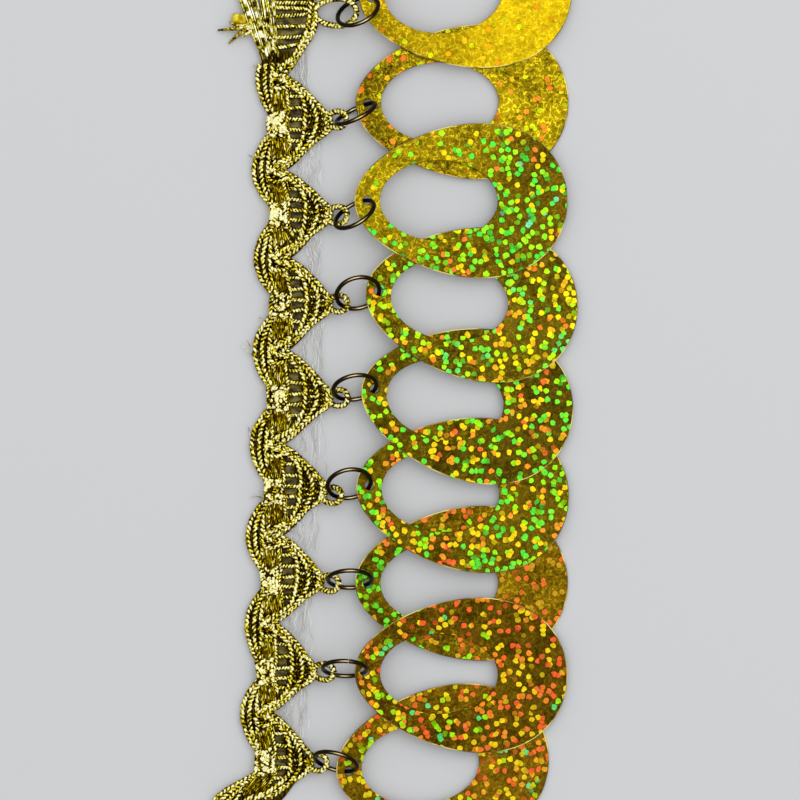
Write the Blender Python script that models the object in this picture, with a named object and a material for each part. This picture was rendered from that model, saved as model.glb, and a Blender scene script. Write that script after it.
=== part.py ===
"""A length of gold gimp braid with egg-shaped paillettes hung on jump rings.

The braid lies flat on its back at z = 0 and runs along Y. X points from the braid to the
paillettes. The origin is on the braid's flat back, under its middle band and half way along.
"""

import math

import bmesh
import bpy
from mathutils import Matrix, Vector

MM = 0.001
MERGE = 1e-6
SHARP_FROM = 50.0  # degrees between two faces that are shaded apart
PIXEL = MM / 6.0  # real size of one photograph pixel, from the 8 mm jump rings
ORIGIN_X, ORIGIN_Y = 279.0, 399.0  # the photograph pixel that lies at the origin

# Paillettes: film ovals, wider towards the free end, with a large hole and a ring hole
FILM = 0.35 * MM
EGG_LENGTH, EGG_WIDTH, EGG_SKEW = 35.5 * MM, 25.35 * MM, 0.20
HOLE_LENGTH, HOLE_WIDTH, HOLE_BACK = 19.6 * MM, 13.3 * MM, 3.7 * MM
EYE_RADIUS = 1.22 * MM
RING_SEAT = 0.20 * MM  # how far past the middle of a ring hole its ring passes
EGG_STEPS, HOLE_STEPS, EYE_STEPS = 48, 32, 12
# x and y are the centre in photograph pixels, turn is clockwise in degrees, eye is how far back
# from the centre the ring hole lies in mm, tip the height of the free end in mm, rise what the
# ring end gains on it, and lean the height in mm gained for each mm down the photograph, which
# lays each paillette over its neighbour.
PAILLETTES = (
    {"x": 465.5, "y": -7.5, "turn": -4.0, "eye": 15.65, "tip": 0.78, "rise": 1.45, "lean": 0.045},
    {"x": 462.0, "y": 102.5, "turn": -1.0, "eye": 15.65, "tip": 0.19, "rise": 1.45, "lean": 0.0},
    {"x": 461.0, "y": 201.0, "turn": 0.0, "eye": 15.65, "tip": 1.36, "rise": 1.50, "lean": 0.018},
    {"x": 471.5, "y": 303.0, "turn": 7.0, "eye": 15.65, "tip": 0.90, "rise": 1.60, "lean": 0.045},
    {"x": 467.0, "y": 403.5, "turn": 9.0, "eye": 15.65, "tip": 0.95, "rise": 1.48, "lean": 0.045},
    {"x": 462.5, "y": 493.5, "turn": 5.0, "eye": 15.65, "tip": 0.90, "rise": 1.45, "lean": 0.051},
    {"x": 461.5, "y": 583.0, "turn": 0.0, "eye": 15.65, "tip": 0.19, "rise": 1.80, "lean": 0.0},
    {"x": 461.0, "y": 674.0, "turn": 2.0, "eye": 16.1, "tip": 0.87, "rise": 2.05, "lean": 0.0},
    {"x": 442.5, "y": 762.5, "turn": -5.0, "eye": 15.65, "tip": 0.19, "rise": 1.45, "lean": 0.0},
)

# Jump rings: round wire, closed but for a hair-wide split
RING_RADIUS, WIRE_RADIUS = 3.625 * MM, 0.375 * MM
RING_SPLIT = 5.0  # degrees left open
RING_STEPS, WIRE_SIDES = 24, 6
# tilt is the angle between the ring and the braid's plane in degrees, up is 1 where the arc
# nearer the photograph's top edge lies uppermost and -1 where the other one does, and split
# is where the ring opens, in degrees round it from its free end.
RINGS = (
    {"tilt": 54.0, "up": -1, "split": 200.0},
    {"tilt": 74.0, "up": -1, "split": 150.0},
    {"tilt": 62.0, "up": -1, "split": 170.0},
    {"tilt": 47.0, "up": 1, "split": 205.0},
    {"tilt": 57.0, "up": 1, "split": 130.0},
    {"tilt": 49.0, "up": 1, "split": 195.0},
    {"tilt": 65.0, "up": 1, "split": 190.0},
    {"tilt": 67.0, "up": 1, "split": 75.0},
    {"tilt": 64.0, "up": 1, "split": 185.0},
)

# Picots: the cord loops that the jump rings go through
PICOT_CORD, PICOT_STEPS = 0.40 * MM, 16
PICOT_ROOT = 0.85 * MM  # height at which a loop leaves the braid
# x and y are the middle of the loop's eye in pixels, lift its height in mm, root the length
# of the loop towards the braid in mm, and reach and half its length and half width in mm.
PICOTS = (
    {"x": 339.5, "y": 13.0, "lift": 1.70, "root": 4.1, "reach": 2.85, "half": 2.25},
    {"x": 338.5, "y": 120.0, "lift": 2.05, "root": 2.1, "reach": 1.33, "half": 1.33},
    {"x": 338.9, "y": 215.8, "lift": 2.05, "root": 2.1, "reach": 1.38, "half": 1.42},
    {"x": 339.8, "y": 303.8, "lift": 2.30, "root": 2.1, "reach": 1.33, "half": 1.33},
    {"x": 340.0, "y": 398.0, "lift": 1.80, "root": 2.1, "reach": 1.33, "half": 1.33},
    {"x": 333.5, "y": 495.0, "lift": 1.90, "root": 2.0, "reach": 1.33, "half": 1.33},
    {"x": 331.0, "y": 583.0, "lift": 2.20, "root": 2.1, "reach": 1.33, "half": 1.33},
    {"x": 326.0, "y": 671.0, "lift": 2.30, "root": 2.2, "reach": 1.33, "half": 1.33},
    {"x": 319.0, "y": 762.0, "lift": 1.70, "root": 2.1, "reach": 1.33, "half": 1.33},
)

# Braid: a serpentine edge with a fan at each picot and a lobe between them, in pixels
REPEATS = (
    {"peak_x": 316.0, "peak_y": 20.0, "notch_x": 283.0, "lobe_x": 254.7, "lobe_y": 77.0, "valley_x": 292.0},
    {"peak_x": 331.0, "peak_y": 123.5, "notch_x": 269.0, "lobe_x": 251.0, "lobe_y": 171.0, "valley_x": 290.6},
    {"peak_x": 331.0, "peak_y": 214.0, "notch_x": 270.0, "lobe_x": 253.0, "lobe_y": 259.0, "valley_x": 295.0},
    {"peak_x": 331.0, "peak_y": 304.0, "notch_x": 272.0, "lobe_x": 252.0, "lobe_y": 351.0, "valley_x": 293.0},
    {"peak_x": 331.0, "peak_y": 398.0, "notch_x": 269.0, "lobe_x": 249.0, "lobe_y": 445.0, "valley_x": 289.0},
    {"peak_x": 326.0, "peak_y": 490.0, "notch_x": 265.0, "lobe_x": 245.0, "lobe_y": 536.0, "valley_x": 288.0},
    {"peak_x": 322.0, "peak_y": 580.5, "notch_x": 262.0, "lobe_x": 244.0, "lobe_y": 624.0, "valley_x": 281.6},
    {"peak_x": 315.0, "peak_y": 672.0, "notch_x": 257.0, "lobe_x": 239.5, "lobe_y": 713.0, "valley_x": 276.5},
    {"peak_x": 312.0, "peak_y": 761.0, "notch_x": 257.0, "lobe_x": 210.0, "lobe_y": 806.0, "valley_x": 280.0},
)
TOP_Y, TOP_X = -16.0, 311.0  # where the right edge meets the braid's cut upper end, in pixels
STEP_Y, STEP_X = 43.0, 262.0  # below this pixel the braid has its full width, from this edge
STEPS_A_HALF = 6  # stations from a peak to a lobe, or back
NOTCH_FLAT = 9.0  # half the straight stretch of a notch, in pixels
FAN_CLIP = 1.12  # how soon a fan's sides reach its blunt tip
SWELL_ABOVE, SWELL_BELOW = 1.0, 0.72  # the bulge of a fan's sides, 1 where they are straight
LOBE_ROUND, CUT_LOBE_ROUND = 0.8, 1.25
# The relief across the braid: at is the share of its width from the left edge, fan and lobe
# the height there in mm at a peak and at a lobe. High rows are cords, low rows the gaps.
RELIEF = (
    {"at": 0.00, "fan": 0.55, "lobe": 0.45},
    {"at": 0.08, "fan": 1.20, "lobe": 1.30},
    {"at": 0.16, "fan": 1.05, "lobe": 1.05},
    {"at": 0.24, "fan": 1.35, "lobe": 1.70},
    {"at": 0.32, "fan": 1.05, "lobe": 1.35},
    {"at": 0.40, "fan": 1.25, "lobe": 1.90},
    {"at": 0.48, "fan": 0.70, "lobe": 1.45},
    {"at": 0.56, "fan": 1.45, "lobe": 1.85},
    {"at": 0.65, "fan": 0.95, "lobe": 1.35},
    {"at": 0.74, "fan": 1.40, "lobe": 1.65},
    {"at": 0.83, "fan": 1.00, "lobe": 1.20},
    {"at": 0.92, "fan": 1.35, "lobe": 1.30},
    {"at": 1.00, "fan": 0.60, "lobe": 0.45},
)
# The column that carries the rungs, their rise, and how far they go from a peak to a lobe
LADDER_AT, LADDER_RUNG, LADDER_END = 0.48, 0.45 * MM, 0.7

# Frayed end: flat lurex strands held in a short strip where the band is undone
STRIP = {"x": 270.0, "y": 35.2, "length": 22.0, "width": 5.0, "low": 0.10, "high": 1.00}
STRAND_COUNT, STRAND_RADIUS = 9, 0.16 * MM
STRAND_LEFT, STRAND_RIGHT, STRAND_TOP = 232.0, 274.0, -14.0  # their spread ends, in pixels
STRAND_HIGH, STRAND_REST, STUB_ROOT = 0.60 * MM, 0.16 * MM, 0.30 * MM
STRAND_FALL = 0.65  # how far down a strand is at half its length
STUBS = ({"x": 233.0, "y": 15.0}, {"x": 217.0, "y": 30.0}, {"x": 229.0, "y": 43.0})

GOLD_CORD = (0.55, 0.42, 0.05, 1.0)
GOLD_FILM = (0.42, 0.30, 0.02, 1.0)
OLD_BRASS = (0.05, 0.035, 0.02, 1.0)


def clear_scene():
    for obj in list(bpy.data.objects):
        bpy.data.objects.remove(obj, do_unlink=True)


def surface(name, colour, metallic, roughness):
    material = bpy.data.materials.new(name)
    material.use_nodes = True
    shader = material.node_tree.nodes["Principled BSDF"]
    shader.inputs["Base Color"].default_value = colour
    shader.inputs["Metallic"].default_value = metallic
    shader.inputs["Roughness"].default_value = roughness
    return material


def place(x, y, z=0.0):
    """The point of a photograph pixel, z metres above the braid's back."""
    return Vector(((x - ORIGIN_X) * PIXEL, (ORIGIN_Y - y) * PIXEL, z))


def show(name, data, material):
    obj = bpy.data.objects.new(name, data)
    data.materials.append(material)
    bpy.context.scene.collection.objects.link(obj)
    return obj


def mesh_of(bm, name):
    bmesh.ops.recalc_face_normals(bm, faces=bm.faces)
    mesh = bpy.data.meshes.new(name)
    bm.to_mesh(mesh)
    bm.free()
    mesh.shade_smooth()
    mesh.set_sharp_from_angle(angle=math.radians(SHARP_FROM))
    return mesh


def add_loop(curve, count, point_at):
    spline = curve.splines.new("POLY")
    spline.points.add(count - 1)
    spline.use_cyclic_u = True
    for index in range(count):
        x, y = point_at(2 * math.pi * index / count)
        spline.points[index].co = (x, y, 0.0, 1.0)


def paillette_outline(eye):
    """The film's outer edge, its large hole and its ring hole, as one filled flat curve."""

    def egg(angle):
        swell = 1 + EGG_SKEW * math.cos(angle)
        return EGG_LENGTH / 2 * math.cos(angle), EGG_WIDTH / 2 * math.sin(angle) * swell

    def large_hole(angle):
        return HOLE_LENGTH / 2 * math.cos(angle) - HOLE_BACK, HOLE_WIDTH / 2 * math.sin(angle)

    def ring_hole(angle):
        return EYE_RADIUS * math.cos(angle) - eye, EYE_RADIUS * math.sin(angle)

    curve = bpy.data.curves.new("paillette", "CURVE")
    curve.dimensions = "2D"
    curve.fill_mode = "BOTH"
    curve.extrude = FILM / 2
    add_loop(curve, EGG_STEPS, egg)
    add_loop(curve, HOLE_STEPS, large_hole)
    add_loop(curve, EYE_STEPS, ring_hole)
    return curve


def paillette_frame(row):
    """Where a paillette lies: its middle, with its long side from the ring to the free end."""
    turn = math.radians(-row["turn"])
    along = Vector((math.cos(turn), math.sin(turn), 0.0))
    across = Vector((-math.sin(turn), math.cos(turn), 0.0))
    slope = -row["rise"] * MM / (EGG_LENGTH / 2 + row["eye"] * MM)
    height = row["tip"] * MM - slope * EGG_LENGTH / 2
    x_axis = (along + Vector((0, 0, slope))).normalized()
    y_axis = across + Vector((0, 0, -row["lean"]))
    z_axis = x_axis.cross(y_axis).normalized()
    frame = Matrix((x_axis, z_axis.cross(x_axis), z_axis)).transposed().to_4x4()
    frame.translation = place(row["x"], row["y"], height)
    return frame


def make_paillettes(film):
    eyes = []
    for number, row in enumerate(PAILLETTES, 1):
        eye = row["eye"] * MM
        obj = show(f"paillette_{number}", paillette_outline(eye), film)
        obj.matrix_world = paillette_frame(row)
        eyes.append(paillette_frame(row) @ Vector((RING_SEAT - eye, 0.0, 0.0)))
    return eyes


def ring_mesh():
    """A split ring about Z, opening at +X."""
    bm = bmesh.new()
    turn = Matrix.Translation((RING_RADIUS, 0, 0)) @ Matrix.Rotation(math.pi / 2, 4, "X")
    bmesh.ops.create_circle(bm, cap_ends=True, segments=WIRE_SIDES, radius=WIRE_RADIUS, matrix=turn)
    half = math.radians(RING_SPLIT / 2)
    bmesh.ops.rotate(bm, verts=bm.verts, matrix=Matrix.Rotation(half, 3, "Z"))
    bmesh.ops.spin(
        bm,
        geom=bm.verts[:] + bm.edges[:] + bm.faces[:],
        axis=(0, 0, 1),
        angle=2 * math.pi - 2 * half,
        steps=RING_STEPS,
    )
    return mesh_of(bm, "jump_ring")


def ring_frame(row, picot, eye):
    """A ring through both holes, turned about the line that joins them."""
    chord = eye - picot
    u_axis = chord.normalized()
    level = Vector((0, 0, 1)).cross(u_axis).normalized() * row["up"]
    rise = u_axis.cross(level) * row["up"]
    tilt = math.radians(row["tilt"])
    v_axis = level * math.cos(tilt) + rise * math.sin(tilt)
    offset = math.sqrt(RING_RADIUS**2 - (chord.length / 2) ** 2)
    axes = Matrix((u_axis, v_axis, u_axis.cross(v_axis))).transposed().to_4x4()
    axes.translation = (picot + eye) / 2 + v_axis * offset
    return axes @ Matrix.Rotation(math.radians(row["split"]), 4, "Z")


def make_rings(metal, eyes):
    wire = ring_mesh()
    wire.materials.append(metal)
    for number, (row, picot, eye) in enumerate(zip(RINGS, PICOTS, eyes), 1):
        obj = bpy.data.objects.new(f"jump_ring_{number}", wire)
        bpy.context.scene.collection.objects.link(obj)
        obj.matrix_world = ring_frame(row, place(picot["x"], picot["y"], picot["lift"] * MM), eye)


def picot_path(row):
    """An oval that climbs from the braid to its free end."""
    middle = place(row["x"], row["y"], row["lift"] * MM)
    climb = (row["lift"] * MM - PICOT_ROOT) / (row["root"] * MM)
    points = []
    for index in range(PICOT_STEPS):
        angle = 2 * math.pi * index / PICOT_STEPS
        reach = row["reach"] if math.cos(angle) > 0 else row["root"]
        along = reach * MM * math.cos(angle)
        points.append(middle + Vector((along, row["half"] * MM * math.sin(angle), along * climb)))
    return points


def tube_guide(name, paths, radius, sides_step, closed):
    """Round or four-sided tubes along the paths, as one mesh for another piece to take in."""
    curve = bpy.data.curves.new(name, "CURVE")
    curve.dimensions = "3D"
    curve.bevel_depth = radius
    curve.bevel_resolution = sides_step
    curve.use_fill_caps = not closed
    for path in paths:
        spline = curve.splines.new("POLY")
        spline.points.add(len(path) - 1)
        spline.use_cyclic_u = closed
        for point, co in zip(spline.points, path):
            point.co = (*co, 1.0)
    source = bpy.data.objects.new(name, curve)
    bpy.context.scene.collection.objects.link(source)
    bpy.context.view_layer.update()
    mesh = bpy.data.meshes.new_from_object(source.evaluated_get(bpy.context.evaluated_depsgraph_get()))
    bpy.data.objects.remove(source, do_unlink=True)
    bm = bmesh.new()
    bm.from_mesh(mesh)
    bmesh.ops.remove_doubles(bm, verts=bm.verts, dist=MERGE)
    bmesh.ops.recalc_face_normals(bm, faces=bm.faces)
    bm.to_mesh(mesh)
    bm.free()
    guide = bpy.data.objects.new(name, mesh)
    bpy.context.scene.collection.objects.link(guide)
    guide.hide_render = True
    guide.display_type = "WIRE"
    return guide


def take_in(obj, guide, touching):
    join = obj.modifiers.new(guide.name, "BOOLEAN")
    join.operation = "UNION"
    join.object = guide
    join.use_self = touching


def stations():
    """Rows down the braid: pixel y, both edges, and how far each is from a peak (0) to a lobe (1)."""
    rows = []
    for index, row in enumerate(REPEATS):
        cut_end = dict(row, lobe_y=TOP_Y, lobe_x=row["notch_x"], valley_x=TOP_X)
        before = REPEATS[index - 1] if index else cut_end
        for step in range(-STEPS_A_HALF, STEPS_A_HALF):
            near = before if step < 0 else row
            share = abs(step) / STEPS_A_HALF
            y = row["peak_y"] + (near["lobe_y"] - row["peak_y"]) * share
            rows.append({"y": y, "share": share, "row": row, "near": near})
    last = REPEATS[-1]
    rows.append({"y": last["lobe_y"], "share": 1.0, "row": last, "near": last})
    return rows


def edges_at(station):
    """The left and right edge of the braid at one station, in pixels."""
    row, near, y = station["row"], station["near"], station["y"]
    reach = abs(near["lobe_y"] - row["peak_y"])
    out = max(0.0, abs(y - row["peak_y"]) - NOTCH_FLAT) / (reach - NOTCH_FLAT)
    flare = CUT_LOBE_ROUND if near is REPEATS[-1] else LOBE_ROUND
    left = row["notch_x"] + (near["lobe_x"] - row["notch_x"]) * math.sin(math.pi / 2 * out) ** flare
    if row is REPEATS[0]:
        left = row["notch_x"] if y < STEP_Y else min(left, STEP_X)
    swell = SWELL_ABOVE if y < row["peak_y"] else SWELL_BELOW
    inward = min(1.0, FAN_CLIP * (1 - station["share"])) ** swell
    right = near["valley_x"] + (row["peak_x"] - near["valley_x"]) * inward
    return left, right


def make_braid(cord):
    """The relief as a bent grid, with straight walls down to a flat back, and its picots."""
    rows = stations()
    bm = bmesh.new()
    bmesh.ops.create_grid(bm, x_segments=len(RELIEF) - 1, y_segments=len(rows) - 1, size=1.0)
    bm.verts.ensure_lookup_table()
    for vert in bm.verts:
        column = RELIEF[round((vert.co.x + 1) / 2 * (len(RELIEF) - 1))]
        number = round((1 - vert.co.y) / 2 * (len(rows) - 1))
        station = rows[number]
        left, right = edges_at(station)
        height = (column["fan"] + (column["lobe"] - column["fan"]) * station["share"]) * MM
        if column["at"] == LADDER_AT and number % 2 and station["share"] < LADDER_END:
            height += LADDER_RUNG
        vert.co = place(left + (right - left) * column["at"], station["y"], height)
    rim = [edge for edge in bm.edges if edge.is_boundary]
    wall = bmesh.ops.extrude_edge_only(bm, edges=rim)["geom"]
    for vert in wall:
        if isinstance(vert, bmesh.types.BMVert):
            vert.co.z = 0.0
    bmesh.ops.holes_fill(bm, edges=[edge for edge in bm.edges if edge.is_boundary], sides=0)
    picots = tube_guide("picots", [picot_path(row) for row in PICOTS], PICOT_CORD, 1, True)
    take_in(show("braid", mesh_of(bm, "braid"), cord), picots, False)


def strand_path(root, tip):
    """A strand from its root, over a low bow, down to its tip."""
    middle = root.lerp(tip, 0.5)
    middle.z = root.z * (1 - STRAND_FALL) + tip.z * STRAND_FALL
    return root, middle, tip


def make_frayed_end(cord):
    """The strip where the band is undone, and the strands and stubs that leave it."""
    low = place(STRIP["x"] - STRIP["length"] / 2, STRIP["y"], STRIP["low"] * MM)
    high = place(STRIP["x"] + STRIP["length"] / 2, STRIP["y"], STRIP["high"] * MM)
    paths = []
    for index in range(STRAND_COUNT):
        share = (index + 0.5) / STRAND_COUNT
        root = Vector((low.x + (high.x - low.x) * share, low.y, STRAND_HIGH))
        tip = place(STRAND_LEFT + (STRAND_RIGHT - STRAND_LEFT) * share, STRAND_TOP, STRAND_REST)
        paths.append(strand_path(root, tip))
    for stub in STUBS:
        root = Vector((low.x + STRAND_RADIUS, low.y, STUB_ROOT))
        paths.append(strand_path(root, place(stub["x"], stub["y"], STRAND_REST)))
    strands = tube_guide("strands", paths, STRAND_RADIUS, 0, False)
    size = (high.x - low.x, STRIP["width"] * PIXEL, high.z - low.z)
    middle = (low + high) / 2
    bm = bmesh.new()
    bmesh.ops.create_cube(bm, size=1.0, matrix=Matrix.Translation(middle) @ Matrix.Diagonal((*size, 1.0)))
    take_in(show("frayed_end", mesh_of(bm, "frayed_end"), cord), strands, True)


def main():
    clear_scene()
    cord = surface("gold gimp cord", GOLD_CORD, 0.8, 0.4)
    film = surface("gold holographic film", GOLD_FILM, 0.9, 0.25)
    metal = surface("antique brass wire", OLD_BRASS, 1.0, 0.35)
    make_braid(cord)
    make_frayed_end(cord)
    make_rings(metal, make_paillettes(film))


main()
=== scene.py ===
import math
import random

import bmesh
import bpy
from mathutils import Matrix, Vector


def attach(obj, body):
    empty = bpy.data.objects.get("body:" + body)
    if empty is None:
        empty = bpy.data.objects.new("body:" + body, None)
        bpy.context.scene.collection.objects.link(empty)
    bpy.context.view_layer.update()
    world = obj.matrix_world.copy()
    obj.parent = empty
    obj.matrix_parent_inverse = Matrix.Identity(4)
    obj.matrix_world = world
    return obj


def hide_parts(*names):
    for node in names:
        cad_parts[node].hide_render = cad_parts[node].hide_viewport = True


# Gold gimp braid with egg-shaped film paillettes on jump rings, lying flat on a pale board.
# Everything is in metres. Places along the braid are given in photograph pixels and turned
# into metres by at(), because the pieces are matched to the photograph.

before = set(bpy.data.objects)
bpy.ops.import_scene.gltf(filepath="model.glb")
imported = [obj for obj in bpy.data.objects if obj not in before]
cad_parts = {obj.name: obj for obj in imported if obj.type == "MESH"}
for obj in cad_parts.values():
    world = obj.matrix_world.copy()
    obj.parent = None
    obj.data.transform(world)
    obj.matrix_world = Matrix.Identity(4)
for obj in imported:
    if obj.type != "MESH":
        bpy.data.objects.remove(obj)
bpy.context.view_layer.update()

mm = 0.001
pixel = mm / 6.0
originX, originY = 279.0, 399.0


def at(x, y, height=0.0):
    # a photograph pixel, with its height above the board in mm
    return Vector(((x - originX) * pixel, (originY - y) * pixel, height * mm))


def hexColour(code):
    # an sRGB hex value as the linear colour that shaders work in
    channels = [int(code[i:i + 2], 16) / 255 for i in (1, 3, 5)]
    linear = [c / 12.92 if c <= 0.04045 else ((c + 0.055) / 1.055) ** 2.4 for c in channels]
    return (*linear, 1.0)


def addNode(tree, kind, settings):
    # a key that is a property of the node is set, any other is an input: a socket is linked
    node = tree.nodes.new(kind)
    for key, value in settings.items():
        if key == "stops":
            ramp = node.color_ramp
            while len(ramp.elements) < len(value):
                ramp.elements.new(0.5)
            for element, (place, code) in zip(ramp.elements, value):
                element.position = place
                element.color = hexColour(code)
        elif key == "steps":
            node.color_ramp.interpolation = value
        elif isinstance(key, str) and hasattr(node, key) and key not in node.inputs:
            setattr(node, key, value)
        elif isinstance(value, bpy.types.NodeSocket):
            tree.links.new(value, node.inputs[key])
        else:
            node.inputs[key].default_value = value
    return node


def newMaterial(name):
    material = bpy.data.materials.new(name)
    material.use_nodes = True
    tree = material.node_tree
    return material, tree, tree.nodes["Principled BSDF"]


def linkObject(name, data):
    obj = bpy.data.objects.new(name, data)
    bpy.context.scene.collection.objects.link(obj)
    return obj


def finishPiece(name, mesh, material, nodes=()):
    # the mesh becomes a piece of the trimming, and stands for the solids that are given
    mesh.materials.clear()
    mesh.materials.append(material)
    obj = linkObject(name, mesh)
    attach(obj, "root")
    if nodes:
        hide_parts(*nodes)


def meshFrom(bm, name):
    mesh = bpy.data.meshes.new(name)
    bm.to_mesh(mesh)
    bm.free()
    return mesh


def meshFromCurve(name, curve):
    source = linkObject(name, curve)
    bpy.context.view_layer.update()
    mesh = bpy.data.meshes.new_from_object(source.evaluated_get(bpy.context.evaluated_depsgraph_get()))
    bpy.data.objects.remove(source, do_unlink=True)
    return mesh


def addLoop(curve, points):
    # a closed run of straight lines in a flat curve
    spline = curve.splines.new("POLY")
    spline.points.add(len(points) - 1)
    spline.use_cyclic_u = True
    for point, (x, y) in zip(spline.points, points):
        point.co = (x, y, 0.0, 1.0)


# Braid outline, repeat by repeat, in photograph pixels: the fan's tip, the notch on its left,
# the lobe below it and the valley on that lobe's right.
repeats = [
    {"peakX": 316.0, "peakY": 20.0, "notchX": 283.0, "lobeX": 254.7, "lobeY": 77.0, "valleyX": 292.0},
    {"peakX": 331.0, "peakY": 123.5, "notchX": 269.0, "lobeX": 251.0, "lobeY": 171.0, "valleyX": 290.6},
    {"peakX": 331.0, "peakY": 214.0, "notchX": 270.0, "lobeX": 253.0, "lobeY": 259.0, "valleyX": 295.0},
    {"peakX": 331.0, "peakY": 304.0, "notchX": 272.0, "lobeX": 252.0, "lobeY": 351.0, "valleyX": 293.0},
    {"peakX": 331.0, "peakY": 398.0, "notchX": 269.0, "lobeX": 249.0, "lobeY": 445.0, "valleyX": 289.0},
    {"peakX": 326.0, "peakY": 490.0, "notchX": 265.0, "lobeX": 245.0, "lobeY": 536.0, "valleyX": 288.0},
    {"peakX": 322.0, "peakY": 580.5, "notchX": 262.0, "lobeX": 244.0, "lobeY": 624.0, "valleyX": 281.6},
    {"peakX": 315.0, "peakY": 672.0, "notchX": 257.0, "lobeX": 239.5, "lobeY": 713.0, "valleyX": 276.5},
    {"peakX": 312.0, "peakY": 761.0, "notchX": 257.0, "lobeX": 210.0, "lobeY": 806.0, "valleyX": 280.0},
]
topEnd = {"lobeX": 279.0, "lobeY": -16.0, "valleyX": 311.0}
braidEdge = {
    "notch": 0.2,  # the notch keeps its depth over this share of the way to the next lobe
    "lobe": 0.8,  # how full the lobes are: a higher power makes them narrower
    "lastLobe": 1.25,
    "above": 0.95,  # the same for the fan's side above its tip and below it
    "below": 0.72,
    "blunt": 1.12,  # above 1, the fan's tip is cut off flat
}


def nearRow(index, down):
    # the lobe above or below a repeat's fan
    if down:
        return repeats[index]
    return repeats[index - 1] if index else topEnd


def lobeShare(v, power=braidEdge["lobe"]):
    # 0 in the notch, 1 in the middle of the lobe
    out = max(0.0, abs(v) - braidEdge["notch"]) / (1 - braidEdge["notch"])
    return math.sin(math.pi / 2 * out) ** power


def outline(index, v):
    # left and right edge of the braid at v, from -1 at the lobe above to 1 at the lobe below
    row = repeats[index]
    near = nearRow(index, v > 0)
    y = row["peakY"] + (near["lobeY"] - row["peakY"]) * abs(v)
    last = index == len(repeats) - 1 and v > 0
    out = lobeShare(v, braidEdge["lastLobe"] if last else braidEdge["lobe"])
    left = row["notchX"] + (near["lobeX"] - row["notchX"]) * out
    full = braidEdge["above"] if v < 0 else braidEdge["below"]
    inward = min(1.0, braidEdge["blunt"] * (1 - abs(v))) ** full
    right = near["valleyX"] + (row["peakX"] - near["valleyX"]) * inward
    return y, left, right


# Cords

cordLook = {
    "radius": 2.85,  # pixels, so 0.95 mm across: a fine gimp cord
    "pitch": 9.4,  # pixels for one full turn of its two plies
    "step": 1.05,  # pixels between rings of the mesh
    "waist": 0.56,  # how far the profile draws in between its two plies
    "shortWaist": 0.66,  # the same on the short cords
    "sides": 10,
    "start": 0.9,  # radians between the first turns of neighbouring cords
    "sideShaded": 0.25,  # a cord's side takes painted shade where it faces up less than this
    "sideLit": 0.80,  # and fully lit from here on
}


def plyProfile(name, radius, waist, sides):
    # cross-section of a two-ply cord, as a closed flat curve
    curve = bpy.data.curves.new(name, "CURVE")
    curve.dimensions = "2D"
    points = []
    for index in range(sides):
        angle = 2 * math.pi * index / sides
        reach = radius * (waist + (1 - waist) * abs(math.cos(angle)) ** 0.8)
        points.append((reach * math.cos(angle), reach * math.sin(angle)))
    addLoop(curve, points)
    return linkObject(name, curve)


def smoothPath(points, step, closed=False):
    # an even run of points along a smooth curve through the given ones
    count = len(points)
    fine = []
    for index in range(count if closed else count - 1):
        p0 = points[index - 1] if index or closed else points[0]
        p1 = points[index]
        p2 = points[(index + 1) % count]
        p3 = points[(index + 2) % count] if closed or index + 2 < count else points[-1]
        for part in range(12):
            t = part / 12
            fine.append(
                0.5 * ((2 * p1) + (p2 - p0) * t + (2 * p0 - 5 * p1 + 4 * p2 - p3) * t * t
                       + (3 * p1 - p0 - 3 * p2 + p3) * t ** 3)
            )
    fine.append(points[0] if closed else points[-1])
    even = [fine[0]]
    left = step
    for before, after in zip(fine, fine[1:]):
        gap = (after - before).length
        while gap >= left and gap > 0:
            before = before.lerp(after, left / gap)
            even.append(before)
            gap = (after - before).length
            left = step
        left -= gap
    return even


def sweep(name, paths, profile, turnStep=0.0, closed=False, taper=None):
    # A profile swept along every path and turned as it goes, as one mesh. Each point keeps
    # how far along its cord it is in mm, how far it is on a ply's lit crown, which carries the painted
    # highlight and shade, and its cord's number.
    curve = bpy.data.curves.new(name, "CURVE")
    curve.dimensions = "3D"
    curve.bevel_mode = "OBJECT"
    curve.bevel_object = profile
    curve.use_fill_caps = False
    curve.twist_mode = "Z_UP"
    sides = len(profile.data.splines[0].points)
    along, crown, strand = [], [], []
    for number, path in enumerate(paths):
        spline = curve.splines.new("POLY")
        spline.points.add(len(path) - 1)
        spline.use_cyclic_u = closed
        sign = 1 if number % 2 else -1
        length = 0.0
        for index, (point, co) in enumerate(zip(spline.points, path)):
            point.co = (*co, 1.0)
            # Blender cuts a tilt off at 60 turns, so it is kept within one
            point.tilt = (sign * turnStep * index + number * cordLook["start"]) % (2 * math.pi)
            if taper:
                point.radius = taper(index / max(1, len(path) - 1))
            length += (co - path[max(0, index - 1)]).length / mm
            along += [length] * sides
            crown += [abs(math.cos(2 * math.pi * side / sides)) for side in range(sides)]
            strand += [number * 0.381966 % 1.0] * sides  # the golden section keeps the numbers apart
    mesh = meshFromCurve(name, curve)
    # a crown counts as one only on the cord's top and underside, so that painted shade falls on its sides
    dark, reach = cordLook["sideShaded"], cordLook["sideLit"] - cordLook["sideShaded"]
    crown = [value * min(1.0, max(0.0, (abs(vert.normal.z) - dark) / reach))
             for value, vert in zip(crown, mesh.vertices)]
    for key, values in (("along", along), ("crown", crown), ("strand", strand)):
        mesh.attributes.new(key, "FLOAT", "POINT").data.foreach_set("value", values)
    bm = bmesh.new()
    bm.from_mesh(mesh)
    bmesh.ops.holes_fill(bm, edges=[edge for edge in bm.edges if edge.is_boundary], sides=sides)
    bmesh.ops.recalc_face_normals(bm, faces=bm.faces)
    bm.to_mesh(mesh)
    bm.free()
    mesh.shade_smooth()
    return mesh


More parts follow.
